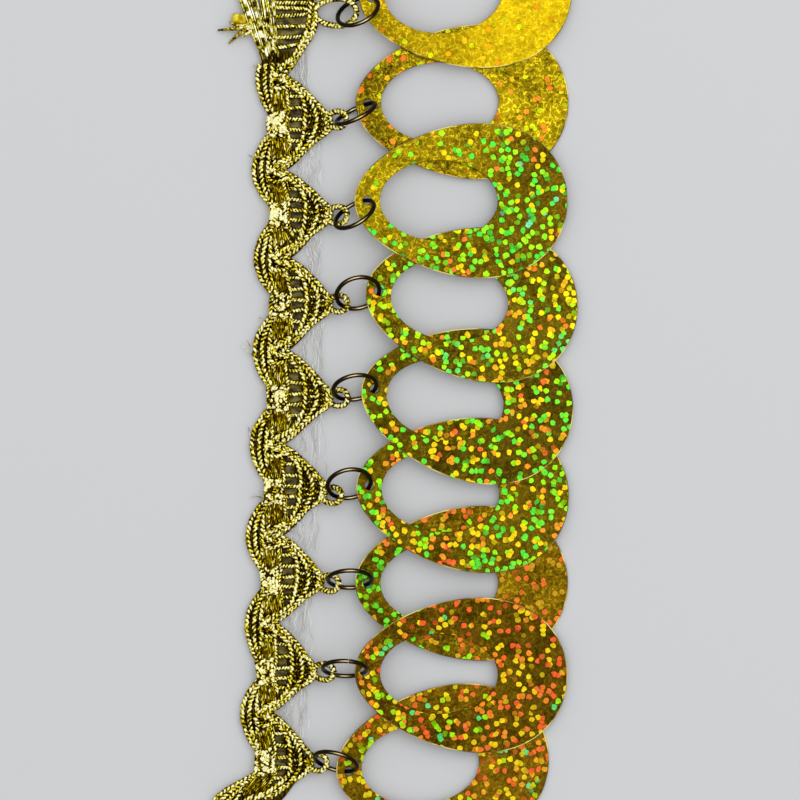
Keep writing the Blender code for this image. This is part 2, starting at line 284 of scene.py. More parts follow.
# The seven long cords run the whole length. Four keep to the left edge, their places given
# in pixels in from it at the notches and at the lobes, with heights in mm. A late cord only
# comes up from under the waist near the lobe's middle.
laneCords = [
    {"notch": 2.7, "lobe": 3.2, "highNotch": 0.60, "highLobe": 0.60, "late": 1},
    {"notch": 6.5, "lobe": 10.2, "highNotch": 0.98, "highLobe": 0.85, "late": 1},
    {"notch": 9.0, "lobe": 17.4, "highNotch": 0.48, "highLobe": 1.00, "late": 4},
    {"notch": 11.5, "lobe": 24.0, "highNotch": 0.48, "highLobe": 0.80, "late": 4},
]
# Three bow out through the fans. Their points are pixels on the fan whose tip is at y 398,
# and fit() carries them to every other fan.
fanCords = [
    [(272.0, 351.0, 1.15), (286.0, 357.5, 1.45), (297.0, 365.0, 1.50), (303.0, 374.0, 1.30),
     (305.3, 386.0, 1.15), (305.0, 399.0, 1.10), (303.0, 410.0, 1.15), (298.5, 421.0, 1.25),
     (291.0, 430.5, 1.40), (281.0, 437.5, 1.40)],
    [(279.5, 351.0, 0.80), (291.0, 357.5, 0.85), (302.0, 366.5, 0.85), (311.0, 376.5, 0.95),
     (316.5, 388.0, 1.00), (316.8, 399.0, 1.00), (313.8, 408.0, 0.95), (307.0, 418.0, 0.85),
     (297.5, 427.5, 0.80), (287.5, 436.5, 0.75)],
    [(286.5, 350.0, 0.60), (298.5, 359.0, 0.55), (311.5, 371.5, 0.55), (321.5, 382.5, 0.75),
     (326.5, 391.0, 0.90), (327.0, 400.0, 0.90), (322.5, 409.0, 0.80), (313.0, 416.5, 0.65),
     (302.5, 426.0, 0.60), (291.5, 436.0, 0.55)],
]
fanMiddle = 4
longCords = {
    "start": 60.0,  # the lanes begin under the loose strands
    "stations": 13,  # points between a tip and the next lobe
    "sway": 0.35, "fanSway": 0.4,  # pixels that a lane or a fan's cord strays
    "lift": 0.05,  # mm
}


def fit(index, x, y, height):
    # A pixel on the fan whose tip is at y 398, carried to the same place on another fan. Near
    # the left edge distances stay as they are, because a smaller fan has the same waist.
    model = repeats[fanMiddle]
    near = nearRow(fanMiddle, y > model["peakY"])
    v = (y - model["peakY"]) / abs(near["lobeY"] - model["peakY"])
    over = round(v / 2) if abs(v) > 1 else 0  # a place past the lobe is on the next fan
    over = max(-index, min(len(repeats) - 1 - index, over))
    v = max(-1.0, min(1.0, v - 2 * over))
    _, left, right = outline(fanMiddle + over, v)
    wide, inset = right - left, x - left
    y, left, right = outline(index + over, v)
    return at(left + inset + (right - left - wide) * (inset / wide) ** 2, y, height)


def stray(rng, reach):
    # a random step either way, so that no two repeats are alike
    return rng.uniform(-reach, reach)


def lanePath(cord, rng):
    points = []
    stations = longCords["stations"]
    for index in range(len(repeats)):
        for station in range(-stations, stations + (index == len(repeats) - 1)):
            v = station / stations
            y, left, _ = outline(index, v)
            share = lobeShare(v)
            inset = cord["notch"] + (cord["lobe"] - cord["notch"]) * share ** 2
            high = cord["highNotch"] + (cord["highLobe"] - cord["highNotch"]) * share ** cord["late"]
            if index > 0 or y > longCords["start"]:
                x = left + inset + stray(rng, longCords["sway"])
                points.append(at(x, y, high + stray(rng, longCords["lift"])))
    return points


def fanPath(cord, rng):
    sway = longCords["fanSway"]
    points = []
    for index in range(len(repeats)):
        points += [fit(index, x + stray(rng, sway), y + stray(rng, sway), height) for x, y, height in cord]
    return points


picotLook = {"radius": 3.3, "pitch": 7.5, "waist": 0.74, "foot": 0.85, "stations": 40}  # pixels, foot in mm
# each picot's ring place in pixels and mm, then how far it reaches back, forward and sideways in mm
picots = [
    {"x": 339.5, "y": 13.0, "lift": 1.70, "root": 4.1, "reach": 2.85, "half": 2.25},
    {"x": 338.5, "y": 120.0, "lift": 2.05, "root": 2.1, "reach": 1.33, "half": 1.33},
    {"x": 338.9, "y": 215.8, "lift": 2.05, "root": 2.1, "reach": 1.38, "half": 1.42},
    {"x": 339.8, "y": 303.8, "lift": 2.30, "root": 2.1, "reach": 1.33, "half": 1.33},
    {"x": 340.0, "y": 398.0, "lift": 1.80, "root": 2.1, "reach": 1.33, "half": 1.33},
    {"x": 333.5, "y": 495.0, "lift": 1.90, "root": 2.0, "reach": 1.33, "half": 1.33},
    {"x": 331.0, "y": 583.0, "lift": 2.20, "root": 2.1, "reach": 1.33, "half": 1.33},
    {"x": 326.0, "y": 671.0, "lift": 2.30, "root": 2.2, "reach": 1.33, "half": 1.33},
    {"x": 319.0, "y": 762.0, "lift": 1.70, "root": 2.1, "reach": 1.33, "half": 1.33},
]


def picotPath(row):
    # a loop that climbs from the fan's tip to where the ring hangs
    middle = at(row["x"], row["y"], row["lift"])
    climb = (row["lift"] - picotLook["foot"]) / row["root"]
    points = []
    for index in range(picotLook["stations"]):
        angle = 2 * math.pi * index / picotLook["stations"]
        along = (row["reach"] if math.cos(angle) > 0 else row["root"]) * math.cos(angle)
        points.append(middle + Vector((along, row["half"] * math.sin(angle), along * climb)) * mm)
    return points


# How each kind of cord is wound, and the light painted on it. Shine lifts the whole tone, fleck is the
# size in mm of a fleck, a painted glint, crisp sets how far it stands out from its edges, and spread how much
# one fleck differs from the next.
windings = {
    "plain": {"name": "metallised gold gimp, wound", "shine": -0.13, "fleck": 0.46, "crisp": 0.5,
              "spread": 1.15},
    "tight": {"name": "metallised gold gimp, wound tight", "shine": -0.12, "fleck": 0.46, "crisp": 0.5,
              "spread": 1.15},
    # bright: whiter painted glints, for the waist's knots and the strands over them
    "bright": {"name": "metallised gold gimp, wound, with bright painted glints", "shine": -0.22, "fleck": 0.72,
               "crisp": 1.3, "spread": 2.3},
    # dull: darkened as painted shade, for the wraps that lie between the bowed cords
    "dull": {"name": "metallised gold gimp, wound, darkened by painted shade", "shine": -0.62, "fleck": 0.46, "crisp": 0.5,
             "spread": 1.15},
    "tape": {"name": "lurex tape, slit and twisted", "shine": -0.56, "fleck": 0.50, "crisp": 0.15,
             "spread": 0.9},
}
gimpTone = {
    "gap": 0.12, "crown": 0.85,  # where the painted shade of the gap between two plies ends and where the painted highlight of a ply's crown begins
    "dark": 0.56, "bright": 0.48,  # how far the painted shade in the gap lies under the shine, and the painted highlight on the crown over it
    "drift": 2.5, "driftShare": 0.45,  # mm between brighter and duller stretches, and their strength
    "middle": 0.15, "edge": 0.65,  # a fleck's own middle and edge, as shares of its size
    "lift": 0.7, "drop": 0.8,  # how far a crisp fleck rises in its middle and sinks at its edge
    "stops": [(0.06, "#2E1C00"), (0.20, "#5E4800"), (0.36, "#8C7600"), (0.50, "#B49E00"), (0.63, "#DCCA10"),
              (0.75, "#F6E824"), (0.88, "#FFF860"), (1.0, "#FFFDC8")],
    "tint": "#FFDC60", "roughness": 0.30, "bump": 0.12,
}


def goldCord(kind):
    # Gimp: metallised film wound on a cotton core. Its glints are painted on as bright flecks, a painted
    # highlight on the crowns of its two plies, drawn a little coarser than the real winding so that they
    # show, with painted shade on the olive flanks and in the dark brown gaps between the plies.
    look = windings[kind]
    material, tree, shader = newMaterial(look["name"])
    place = addNode(tree, "ShaderNodeTexCoord", {})
    crown = addNode(tree, "ShaderNodeAttribute", {"attribute_name": "crown"})
    flecks = addNode(tree, "ShaderNodeTexVoronoi", {
        "Vector": place.outputs["Object"], "Scale": 1 / (look["fleck"] * mm)})
    tone = addNode(tree, "ShaderNodeSeparateColor", {"Color": flecks.outputs["Color"]})
    drift = addNode(tree, "ShaderNodeTexNoise", {
        "Vector": place.outputs["Object"], "Scale": 1 / (gimpTone["drift"] * mm), "Detail": 1.0})
    paintedPlyLight = addNode(tree, "ShaderNodeMapRange", {
        "Value": crown.outputs["Fac"], "From Min": gimpTone["gap"], "From Max": gimpTone["crown"],
        "To Min": look["shine"] - gimpTone["dark"], "To Max": look["shine"] + gimpTone["bright"]})
    # each fleck is a painted glint, brightest in its own middle
    spot = addNode(tree, "ShaderNodeMapRange", {
        "Value": flecks.outputs["Distance"], "From Min": gimpTone["middle"], "From Max": gimpTone["edge"],
        "To Min": gimpTone["lift"] * look["crisp"], "To Max": -gimpTone["drop"] * look["crisp"]})
    turned = addNode(tree, "ShaderNodeMath", {
        "operation": "MULTIPLY_ADD", 0: drift.outputs["Fac"], 1: gimpTone["driftShare"],
        2: paintedPlyLight.outputs["Result"]})
    spotted = addNode(tree, "ShaderNodeMath", {
        "operation": "ADD", 0: turned.outputs[0], 1: spot.outputs["Result"]})
    lit = addNode(tree, "ShaderNodeMath", {
        "operation": "MULTIPLY_ADD", 0: tone.outputs["Red"], 1: look["spread"], 2: spotted.outputs[0]})
    colour = addNode(tree, "ShaderNodeValToRGB", {"Fac": lit.outputs[0], "stops": gimpTone["stops"]})
    bump = addNode(tree, "ShaderNodeBump", {
        "Height": tone.outputs["Green"], "Strength": 0.6, "Distance": gimpTone["bump"] * mm})
    tree.links.new(colour.outputs["Color"], shader.inputs["Base Color"])
    tree.links.new(bump.outputs["Normal"], shader.inputs["Normal"])
    shader.inputs["Metallic"].default_value = 1.0
    shader.inputs["Roughness"].default_value = gimpTone["roughness"]
    shader.inputs["Specular Tint"].default_value = hexColour(gimpTone["tint"])
    return material


# The warp is the flat ground under the cords. Heights are in mm, the rest in pixels.
warp = {
    "low": 0.05, "high": 0.98, "under": 0.30, "ladder": 0.18,  # its underside, and its top in each part
    "insetLeft": 4.0, "insetRight": 6.5,  # how far it stays inside the braid's edges
    "reach": 11.0, "reachTo": 46.0,  # it runs on to the left under the loose strands, down to this y
    "across": 40, "down": 40,  # cells across the braid and down each repeat
}
# where its parts lie on the fan at y 398; the first fan has no warp above "first"
band = {"left": 268.0, "right": 292.0, "top": 362.0, "bottom": 433.0, "first": 424.0}
ladder = {"left": 289.5, "right": 302.5, "top": 360.0, "bottom": 425.0}


def onLadder(index, x, y):
    return ladder["left"] < x < ladder["right"] and ladder["top"] < y < ladder["bottom"]


def onWaist(index, x, y):
    inside = band["left"] < x < band["right"] and band["top"] < y < band["bottom"]
    return inside and index > 0 and not onLadder(index, x, y)


def underCords(index, x, y):
    return not onLadder(index, x, y) and (index > 0 or y > band["first"])


def openGround(index, x, y):
    return onLadder(index, x, y) or index == 0 and y < band["first"]


def makeGround(name, material, high, keep):
    # the warp's cells that keep lets stand, as one flat slab
    bm = bmesh.new()
    rows = warp["down"] * len(repeats)
    bmesh.ops.create_grid(bm, x_segments=warp["across"], y_segments=rows, size=0.5)
    spare = []
    for face in bm.faces:
        middle = face.calc_center_median()
        along = (0.5 - middle.y) * len(repeats)
        v = (along % 1.0) * 2 - 1
        y, left, right = outline(fanMiddle, v)
        if not keep(int(along), left + (right - left) * (middle.x + 0.5), y):
            spare.append(face)
    bmesh.ops.delete(bm, geom=spare, context="FACES")
    for vert in bm.verts:
        share = vert.co.x + 0.5
        along = (0.5 - vert.co.y) * len(repeats)
        index = min(len(repeats) - 1, int(along + 1e-6))
        y, left, right = outline(index, max(-1.0, (along - index) * 2 - 1))
        if index == 0 and y < warp["reachTo"]:
            left -= warp["reach"]
        left, right = left + warp["insetLeft"], right - warp["insetRight"]
        vert.co = at(left + (right - left) * share, y, warp["low"])
    top = bmesh.ops.extrude_face_region(bm, geom=bm.faces[:])
    raised = [item for item in top["geom"] if isinstance(item, bmesh.types.BMVert)]
    bmesh.ops.translate(bm, verts=raised, vec=(0, 0, (high - warp["low"]) * mm))
    bmesh.ops.recalc_face_normals(bm, faces=bm.faces)
    finishPiece(name, meshFrom(bm, name), material, ["braid"])


# streaks and patches in mm across the braid, along it and in height, then dark to bright tones, where the
# warp is seen and, darker as painted shade, where it lies under the cords
wovenLook = {"streak": (0.28, 1.6, 2.0), "bump": 0.2, "toneFrom": (0.34, 0.44, 0.52, 0.60, 0.70),
             "seen": ["#342200", "#5A4000", "#745A00", "#8E7408", "#B8A030"],
             "shaded": ["#140E02", "#241A04", "#3C2E06", "#5A4A0C", "#8A7A20"]}
openLook = {"patch": (1.8, 0.9, 2.0),
            "stops": [(0.36, "#2A1C00"), (0.46, "#5C4C00"), (0.54, "#7A6C14"), (0.64, "#9C9248")]}


def warpFilm(name, tones):
    # Lurex warp: flat metallised tape, woven close, so dull olive with fine upright streaks.
    material, tree, shader = newMaterial(name)
    place = addNode(tree, "ShaderNodeTexCoord", {})
    drawn = addNode(tree, "ShaderNodeMapping", {
        "Vector": place.outputs["Object"], "Scale": [1 / (size * mm) for size in wovenLook["streak"]]})
    streak = addNode(tree, "ShaderNodeTexNoise", {
        "Vector": drawn.outputs["Vector"], "Scale": 1.0, "Detail": 3.0})
    colour = addNode(tree, "ShaderNodeValToRGB", {
        "Fac": streak.outputs["Fac"], "stops": list(zip(wovenLook["toneFrom"], tones))})
    bump = addNode(tree, "ShaderNodeBump", {
        "Height": streak.outputs["Fac"], "Strength": 0.6, "Distance": wovenLook["bump"] * mm})
    tree.links.new(colour.outputs["Color"], shader.inputs["Base Color"])
    tree.links.new(bump.outputs["Normal"], shader.inputs["Normal"])
    shader.inputs["Metallic"].default_value = 1.0
    shader.inputs["Roughness"].default_value = 0.4
    shader.inputs["Specular Tint"].default_value = hexColour("#FFE890")
    return material


def openWarp():
    # Open warp: a few threads, with the shaded board seen between them painted on as painted shade, so soft
    # olive and grey in turn.
    material, tree, shader = newMaterial("open lurex warp, loosely woven")
    place = addNode(tree, "ShaderNodeTexCoord", {})
    drawn = addNode(tree, "ShaderNodeMapping", {
        "Vector": place.outputs["Object"], "Scale": [1 / (size * mm) for size in openLook["patch"]]})
    cloud = addNode(tree, "ShaderNodeTexNoise", {
        "Vector": drawn.outputs["Vector"], "Scale": 1.0, "Detail": 2.0})
    colour = addNode(tree, "ShaderNodeValToRGB", {"Fac": cloud.outputs["Fac"], "stops": openLook["stops"]})
    tree.links.new(colour.outputs["Color"], shader.inputs["Base Color"])
    shader.inputs["Metallic"].default_value = 0.2
    shader.inputs["Roughness"].default_value = 0.55
    return material


# Short cords on the fan at y 398, in pixels, with heights in mm at a cord's start, middle and end.
# Slant is how far its ends may stray up and down against each other, shift how far all of it may.
shortCords = {
    "rung": {"radius": 2.7, "pitch": 6.0, "heights": (0.75, 0.95, 0.80), "slant": 0.8, "topSlant": 2.4},
    "wrap": {"radius": 2.1, "pitch": 6.0, "heights": (0.60, 0.62, 0.55), "slant": 1.0},
    "knot": {"radius": 2.5, "pitch": 8.0, "heights": (0.95, 1.40, 1.05), "shift": 1.5},
    "cross": {"radius": 2.6, "pitch": 8.0},
    "post": {"radius": 2.2, "pitch": 7.0},
    "tape": {"radius": 0.9, "pitch": 14.0},
}
# rungs of the ladder and wraps between the bowed cords: y, left, right
rungs = [(370.5, 289.0, 303.0), (382.5, 289.0, 304.0), (394.0, 288.0, 304.5), (404.5, 288.0, 303.0),
         (415.5, 289.5, 300.0)]
wraps = [(378.0, 303.5, 312.0), (384.0, 305.0, 315.5), (390.5, 305.0, 316.0), (396.5, 305.0, 316.5),
         (402.5, 304.5, 316.0), (408.5, 303.0, 313.5), (414.5, 301.5, 309.5),
         (388.0, 317.0, 324.0), (394.0, 317.0, 326.5), (400.0, 317.0, 326.5), (406.0, 315.0, 322.5)]
# the first fan's ladder reaches back to the loose strands
topRungs = [(376.0, 252.0, 304.0), (383.0, 250.0, 304.0), (392.5, 248.0, 305.0), (403.5, 250.0, 305.0),
            (412.5, 254.0, 304.0), (420.0, 262.0, 300.0)]
# thin warp tapes in the waist, above and below each notch: first and last y, left, right, how many
tapes = [(359.0, 393.0, 270.0, 289.0, 11), (406.0, 434.0, 268.0, 291.0, 13)]
tapeLook = {"stations": 5, "step": 2.0, "sway": 1.3, "low": 0.92, "high": 1.08}
# strands that run up the waist over its knots, bright with painted glints
waist = {"top": 387.0, "bottom": 412.0, "left": 267.5, "right": 286.5, "count": 5, "low": 1.10, "high": 1.45,
         "sway": 1.5, "shift": 2.0}
knots = [((270.5, 398.5), (279.0, 392.0)), ((271.0, 404.5), (281.5, 396.5)), ((274.5, 409.0), (285.0, 400.0)),
         ((279.0, 410.5), (286.5, 404.0)), ((270.0, 392.5), (277.5, 386.5)), ((277.0, 390.5), (285.5, 385.0)),
         ((268.0, 408.0), (276.0, 412.0))]
# the post beside the ladder, the cord over the fan's tip and those that cross at the valleys
post = [(285.0, 362.0, 0.85), (286.5, 374.0, 0.95), (288.3, 386.0, 1.05), (287.0, 394.0, 1.10),
        (286.0, 402.0, 1.10), (288.5, 411.0, 1.00), (289.5, 422.0, 0.85)]
crossings = [
    [(271.0, 449.0, 1.1), (274.0, 440.5, 1.35), (281.0, 434.5, 1.55), (290.0, 430.5, 1.50)],
    [(277.0, 452.0, 1.1), (279.5, 445.0, 1.35), (285.0, 439.0, 1.50)],
    [(268.0, 355.0, 1.0), (272.0, 361.5, 1.30), (279.0, 363.0, 1.35), (288.0, 360.0, 1.50)],
    [(271.0, 345.0, 1.1), (274.5, 352.5, 1.40), (280.5, 355.5, 1.50), (286.0, 353.0, 1.50)],
    [(317.0, 381.0, 1.0), (325.5, 386.5, 1.05), (330.5, 393.0, 1.05), (331.0, 401.0, 1.05),
     (326.5, 407.5, 1.0), (317.0, 413.5, 0.95)],
]


def fanCord(index, places, step=cordLook["step"]):
    return smoothPath([fit(index, *place) for place in places], step * pixel)


def arch(index, kind, start, end):
    # a short cord that rises over the middle between its two ends
    middle = ((start[0] + end[0]) / 2, (start[1] + end[1]) / 2)
    return fanCord(index, [(*place, high) for place, high in
                           zip((start, middle, end), shortCords[kind]["heights"])])


def waistStrand(index, x, rng):
    places = []
    for y in (waist["top"], (waist["top"] + waist["bottom"]) / 2, waist["bottom"]):
        places.append((x + stray(rng, waist["sway"]), y + stray(rng, waist["shift"]),
                       rng.uniform(waist["low"], waist["high"])))
    return fanCord(index, places)


def warpTape(index, x, first, last, rng):
    places = []
    for station in range(tapeLook["stations"]):
        y = first + (last - first) * station / (tapeLook["stations"] - 1)
        places.append((x + stray(rng, tapeLook["sway"]), y, rng.uniform(tapeLook["low"], tapeLook["high"])))
    return fanCord(index, places, tapeLook["step"])


def evenPlaces(left, right, count):
    return [left + (right - left) * (number + 0.5) / count for number in range(count)]


def shortPaths(rng):
    # every short cord, fan by fan; the first fan has no post, knots, strands or tapes
    paths = {kind: [] for kind in shortCords}
    for index in range(len(repeats)):
        if index:
            paths["post"].append(fanCord(index, post))
        rungRows, rungSlant = (rungs, "slant") if index else (topRungs, "topSlant")
        for kind, rows, slant in (("rung", rungRows, rungSlant), ("wrap", wraps, "slant")):
            for y, left, right in rows:
                tip = stray(rng, shortCords[kind][slant])
                paths[kind].append(arch(index, kind, (left, y - tip), (right, y + tip)))
        if index:
            for (x0, y0), (x1, y1) in knots:
                shift = stray(rng, shortCords["knot"]["shift"])
                paths["knot"].append(arch(index, "knot", (x0, y0 + shift), (x1, y1 + shift)))
            for x in evenPlaces(waist["left"], waist["right"], waist["count"]):
                paths["knot"].append(waistStrand(index, x, rng))
            for first, last, left, right, count in tapes:
                for x in evenPlaces(left, right, count):
                    paths["tape"].append(warpTape(index, x, first, last, rng))
        paths["cross"] += [fanCord(index, places) for places in crossings]
    return paths


def makeBraid():
    rng = random.Random(11)
    step = cordLook["step"] * pixel
    gold = goldCord("plain")

    def cords(name, paths, look, profileWaist, finish=gold, closed=False):
        profile = plyProfile(name, look["radius"] * pixel, profileWaist, cordLook["sides"])
        mesh = sweep(name, paths, profile, 2 * math.pi * cordLook["step"] / look["pitch"], closed)
        bpy.data.objects.remove(profile, do_unlink=True)
        finishPiece(name, mesh, finish, ["braid"])
        print(name, len(mesh.polygons), "faces")

    lanes = [smoothPath(lanePath(cord, rng), step) for cord in laneCords]
    cords("lane_cords", lanes, cordLook, cordLook["waist"])
    bows = [smoothPath(fanPath(cord, rng), step) for cord in fanCords]
    cords("fan_cords", bows, cordLook, cordLook["waist"], goldCord("tight"))
    loops = [smoothPath(picotPath(row), step, closed=True)[:-1] for row in picots]
    cords("picot_cords", loops, picotLook, picotLook["waist"], closed=True)
    paths = shortPaths(rng)
    # fan_wraps lie between the bowed cords and are darkened as painted shade
    for name, kind, winding in (("ladder_rungs", "rung", gold), ("fan_wraps", "wrap", goldCord("dull")),
                                # waist_knots carry bright painted glints
                                ("ladder_posts", "post", gold), ("waist_knots", "knot", goldCord("bright")),
                                ("valley_cords", "cross", gold), ("waist_tapes", "tape", goldCord("tape"))):
        cords(name, paths[kind], shortCords[kind], cordLook["shortWaist"], winding)
    makeGround("waist_warp", warpFilm("flat lurex warp, woven", wovenLook["seen"]), warp["high"], onWaist)
    # under the cords the warp is a real ground, coloured with the shaded tones as painted shade
    makeGround("under_warp_painted_shade", warpFilm("flat lurex warp, under the cords", wovenLook["shaded"]),
               warp["under"], underCords)
    # the open warp's sheet holds painted shade for the board seen through the ladder and the top net
    makeGround("ladder_warp_painted_shade", openWarp(), warp["ladder"], openGround)


makeBraid()


# Loose end: flat lurex strands, a scrap of film and the cut ends of cords

# pixels, with heights in mm; sway is how far a strand strays from its even place
strandLook = {"count": 24, "wide": 1.5, "thick": 0.4, "step": 2.0, "twist": 0.035, "bow": 2.0, "stations": 6}
strandTop = {"y": -13.5, "left": 233.0, "right": 277.0, "sway": 1.5, "low": 0.6, "layers": 0.9}
strandFoot = {"y": 61.0, "left": 262.0, "right": 280.0, "sway": 1.0, "shift": 3.0, "high": 0.85,
              "thin": 0.45, "thinFrom": 0.7}
# grain per mm along a strand and from one to the next, mm along it where it goes into the shade,
# and mm across a flash, with how much of the surface flashes and how bright
strandTone = {"grain": (0.75, 60.0), "shadeFrom": 9.5, "shadeTo": 12.0, "shade": 0.11, "flash": 1.3,
              "flashFrom": 0.58, "flashTo": 0.66, "flashLift": 0.16,
              "stops": [(0.36, "#2E1E00"), (0.42, "#6E5C04"), (0.48, "#BCAE24"), (0.54, "#EEE678"),
                        (0.60, "#FFFFE8")]}
# pixels, then mm for the flecks, painted glints, and for where along a cut cord its film is worn away
cutLook = {"radius": 2.3, "waist": 0.6, "pitch": 7.0, "thin": 0.6,
           "fleck": 0.45, "wornFrom": 1.8, "wornTo": 5.5,
           "stops": [(0.0, "#2C2004"), (0.18, "#6A5808"), (0.36, "#B8A018"), (0.60, "#F0E058"),
                     (0.85, "#FFFCD0")]}
cutCords = [
    [(250.0, 27.0, 0.7), (236.0, 29.0, 0.9), (217.0, 30.6, 0.5)],
    [(250.0, 25.0, 0.9), (240.0, 26.5, 1.1), (229.0, 22.0, 0.7)],
    [(250.0, 29.0, 0.6), (241.0, 33.0, 0.8), (228.5, 44.0, 0.4)],
    [(252.0, 28.0, 0.9), (244.0, 30.0, 1.2), (235.0, 37.0, 0.7)],
    [(252.0, 26.0, 1.2), (243.0, 28.5, 1.5), (233.0, 30.0, 1.1)],
    [(254.0, 30.0, 1.0), (247.0, 34.0, 1.1), (241.0, 37.5, 0.8)],
]


def cordStreaks(tree, grain, detail):
    # a pattern drawn out along each cord and different on the next
    along = addNode(tree, "ShaderNodeAttribute", {"attribute_name": "along"})
    strand = addNode(tree, "ShaderNodeAttribute", {"attribute_name": "strand"})
    spot = addNode(tree, "ShaderNodeCombineXYZ", {"X": along.outputs["Fac"], "Y": strand.outputs["Fac"]})
    drawn = addNode(tree, "ShaderNodeMapping", {"Vector": spot.outputs["Vector"], "Scale": (*grain, 1.0)})
    streaks = addNode(tree, "ShaderNodeTexNoise", {
        "Vector": drawn.outputs["Vector"], "Scale": 1.0, "Detail": detail})
    return streaks.outputs["Fac"], along.outputs["Fac"]


def lurexStrand():
    # Lurex: slit metallised film, so bright pale gold with long white glints along it.
    material, tree, shader = newMaterial("slit lurex film")
    glint, along = cordStreaks(tree, strandTone["grain"], 3.0)
    # where the strands go down between the cords they are shaded
    shaded = addNode(tree, "ShaderNodeMapRange", {
        "Value": along, "From Min": strandTone["shadeFrom"], "From Max": strandTone["shadeTo"],
        "To Min": 0.0, "To Max": -strandTone["shade"]})
    lit = addNode(tree, "ShaderNodeMath", {"operation": "ADD", 0: glint, 1: shaded.outputs["Result"]})
    # and in a few places the light catches several strands at once
    place = addNode(tree, "ShaderNodeTexCoord", {})
    flash = addNode(tree, "ShaderNodeTexNoise", {
        "Vector": place.outputs["Object"], "Scale": 1 / (strandTone["flash"] * mm), "Detail": 1.0})
    caught = addNode(tree, "ShaderNodeMapRange", {
        "Value": flash.outputs["Fac"], "From Min": strandTone["flashFrom"], "From Max": strandTone["flashTo"],
        "To Min": 0.0, "To Max": strandTone["flashLift"]})
    flashed = addNode(tree, "ShaderNodeMath", {
        "operation": "ADD", 0: lit.outputs[0], 1: caught.outputs["Result"]})
    colour = addNode(tree, "ShaderNodeValToRGB", {"Fac": flashed.outputs[0], "stops": strandTone["stops"]})
    tree.links.new(colour.outputs["Color"], shader.inputs["Base Color"])
    shader.inputs["Metallic"].default_value = 1.0
    shader.inputs["Roughness"].default_value = 0.25
    return material


def cutCordLook():
    # The cords' cut ends: the same gimp, its film split and its cotton core darkened at the tip.
    material, tree, shader = newMaterial("metallised gold gimp, cut and frayed")
    along = addNode(tree, "ShaderNodeAttribute", {"attribute_name": "along"})
    place = addNode(tree, "ShaderNodeTexCoord", {})
    flecks = addNode(tree, "ShaderNodeTexVoronoi", {
        "Vector": place.outputs["Object"], "Scale": 1 / (cutLook["fleck"] * mm)})
    tone = addNode(tree, "ShaderNodeSeparateColor", {"Color": flecks.outputs["Color"]})
    worn = addNode(tree, "ShaderNodeMapRange", {
        "Value": along.outputs["Fac"], "From Min": cutLook["wornFrom"], "From Max": cutLook["wornTo"],
        "To Min": 1.0, "To Max": 0.05})
    shaded = addNode(tree, "ShaderNodeMath", {
        "operation": "MULTIPLY", 0: tone.outputs["Red"], 1: worn.outputs["Result"]})
    colour = addNode(tree, "ShaderNodeValToRGB", {"Fac": shaded.outputs[0], "stops": cutLook["stops"]})
    tree.links.new(colour.outputs["Color"], shader.inputs["Base Color"])
    shader.inputs["Metallic"].default_value = 1.0
    shader.inputs["Roughness"].default_value = 0.32
    return material


def strandPath(share, number, rng):
    # from its place at the cut end down to where it goes in between the cords
    top, foot = (end["left"] + (end["right"] - end["left"]) * share + stray(rng, end["sway"])
                 for end in (strandTop, strandFoot))
    high = strandTop["low"] + strandTop["layers"] * (number * 0.618 % 1.0)
    bow = stray(rng, strandLook["bow"])
    points = []
    last = strandLook["stations"] - 1
    for station in range(strandLook["stations"]):
        t = station / last
        x = top + (foot - top) * t + bow * math.sin(math.pi * t)
        shift = stray(rng, strandFoot["shift"]) * (station == last)
        y = strandTop["y"] + (strandFoot["y"] + shift - strandTop["y"]) * t
        points.append(at(x, y, high + (strandFoot["high"] - high) * t ** 2))
    return smoothPath(points, strandLook["step"] * pixel)


def strandTaper(t):
    # a strand thins out towards its foot
    past = max(0.0, t - strandFoot["thinFrom"]) / (1 - strandFoot["thinFrom"])
    return 1 - (1 - strandFoot["thin"]) * past


def cutTaper(t):
    return 1 - cutLook["thin"] * t ** 3


def makeLooseEnd():
    rng = random.Random(5)
    tape = plyProfile("tape", strandLook["wide"] * pixel, strandLook["thick"] / strandLook["wide"], 8)
    count = strandLook["count"]
    paths = [strandPath((number + 0.5) / count, number, rng) for number in range(count)]
    mesh = sweep("lurex_strands", paths, tape, strandLook["twist"], taper=strandTaper)
    finishPiece("lurex_strands", mesh, lurexStrand(), ["frayed_end"])
    thin = plyProfile("cut", cutLook["radius"] * pixel, cutLook["waist"], 10)
    paths = [smoothPath([at(*point) for point in path], cordLook["step"] * pixel) for path in cutCords]
    turn = 2 * math.pi * cordLook["step"] / cutLook["pitch"]
    mesh = sweep("cut_cords", paths, thin, turn, taper=cutTaper)
    finishPiece("cut_cords", mesh, cutCordLook(), ["frayed_end"])
    for profile in (tape, thin):
        bpy.data.objects.remove(profile, do_unlink=True)


# pixels, with its thickness, height, lift and creases in mm and its turn in degrees
scrap = {"x": 240.5, "y": 19.5, "wide": 16.0, "deep": 10.0, "wave": 2.2, "thick": 0.12, "height": 0.75,
         "lift": 0.18, "slope": 0.12, "turn": 6.0, "crease": 0.9,
         "stops": [(0.35, "#A88C08"), (0.50, "#D4B810"), (0.66, "#F0DC3C")]}


def tornFilm():
    # Torn film: plain lacquered gold, dulled where it creased.
    material, tree, shader = newMaterial("gold film, torn")
    place = addNode(tree, "ShaderNodeTexCoord", {})
    crease = addNode(tree, "ShaderNodeTexNoise", {
        "Vector": place.outputs["Object"], "Scale": 1 / (scrap["crease"] * mm), "Detail": 3.0})
    colour = addNode(tree, "ShaderNodeValToRGB", {"Fac": crease.outputs["Fac"], "stops": scrap["stops"]})
    tree.links.new(colour.outputs["Color"], shader.inputs["Base Color"])
    shader.inputs["Metallic"].default_value = 0.9
    shader.inputs["Roughness"].default_value = 0.35
    return material


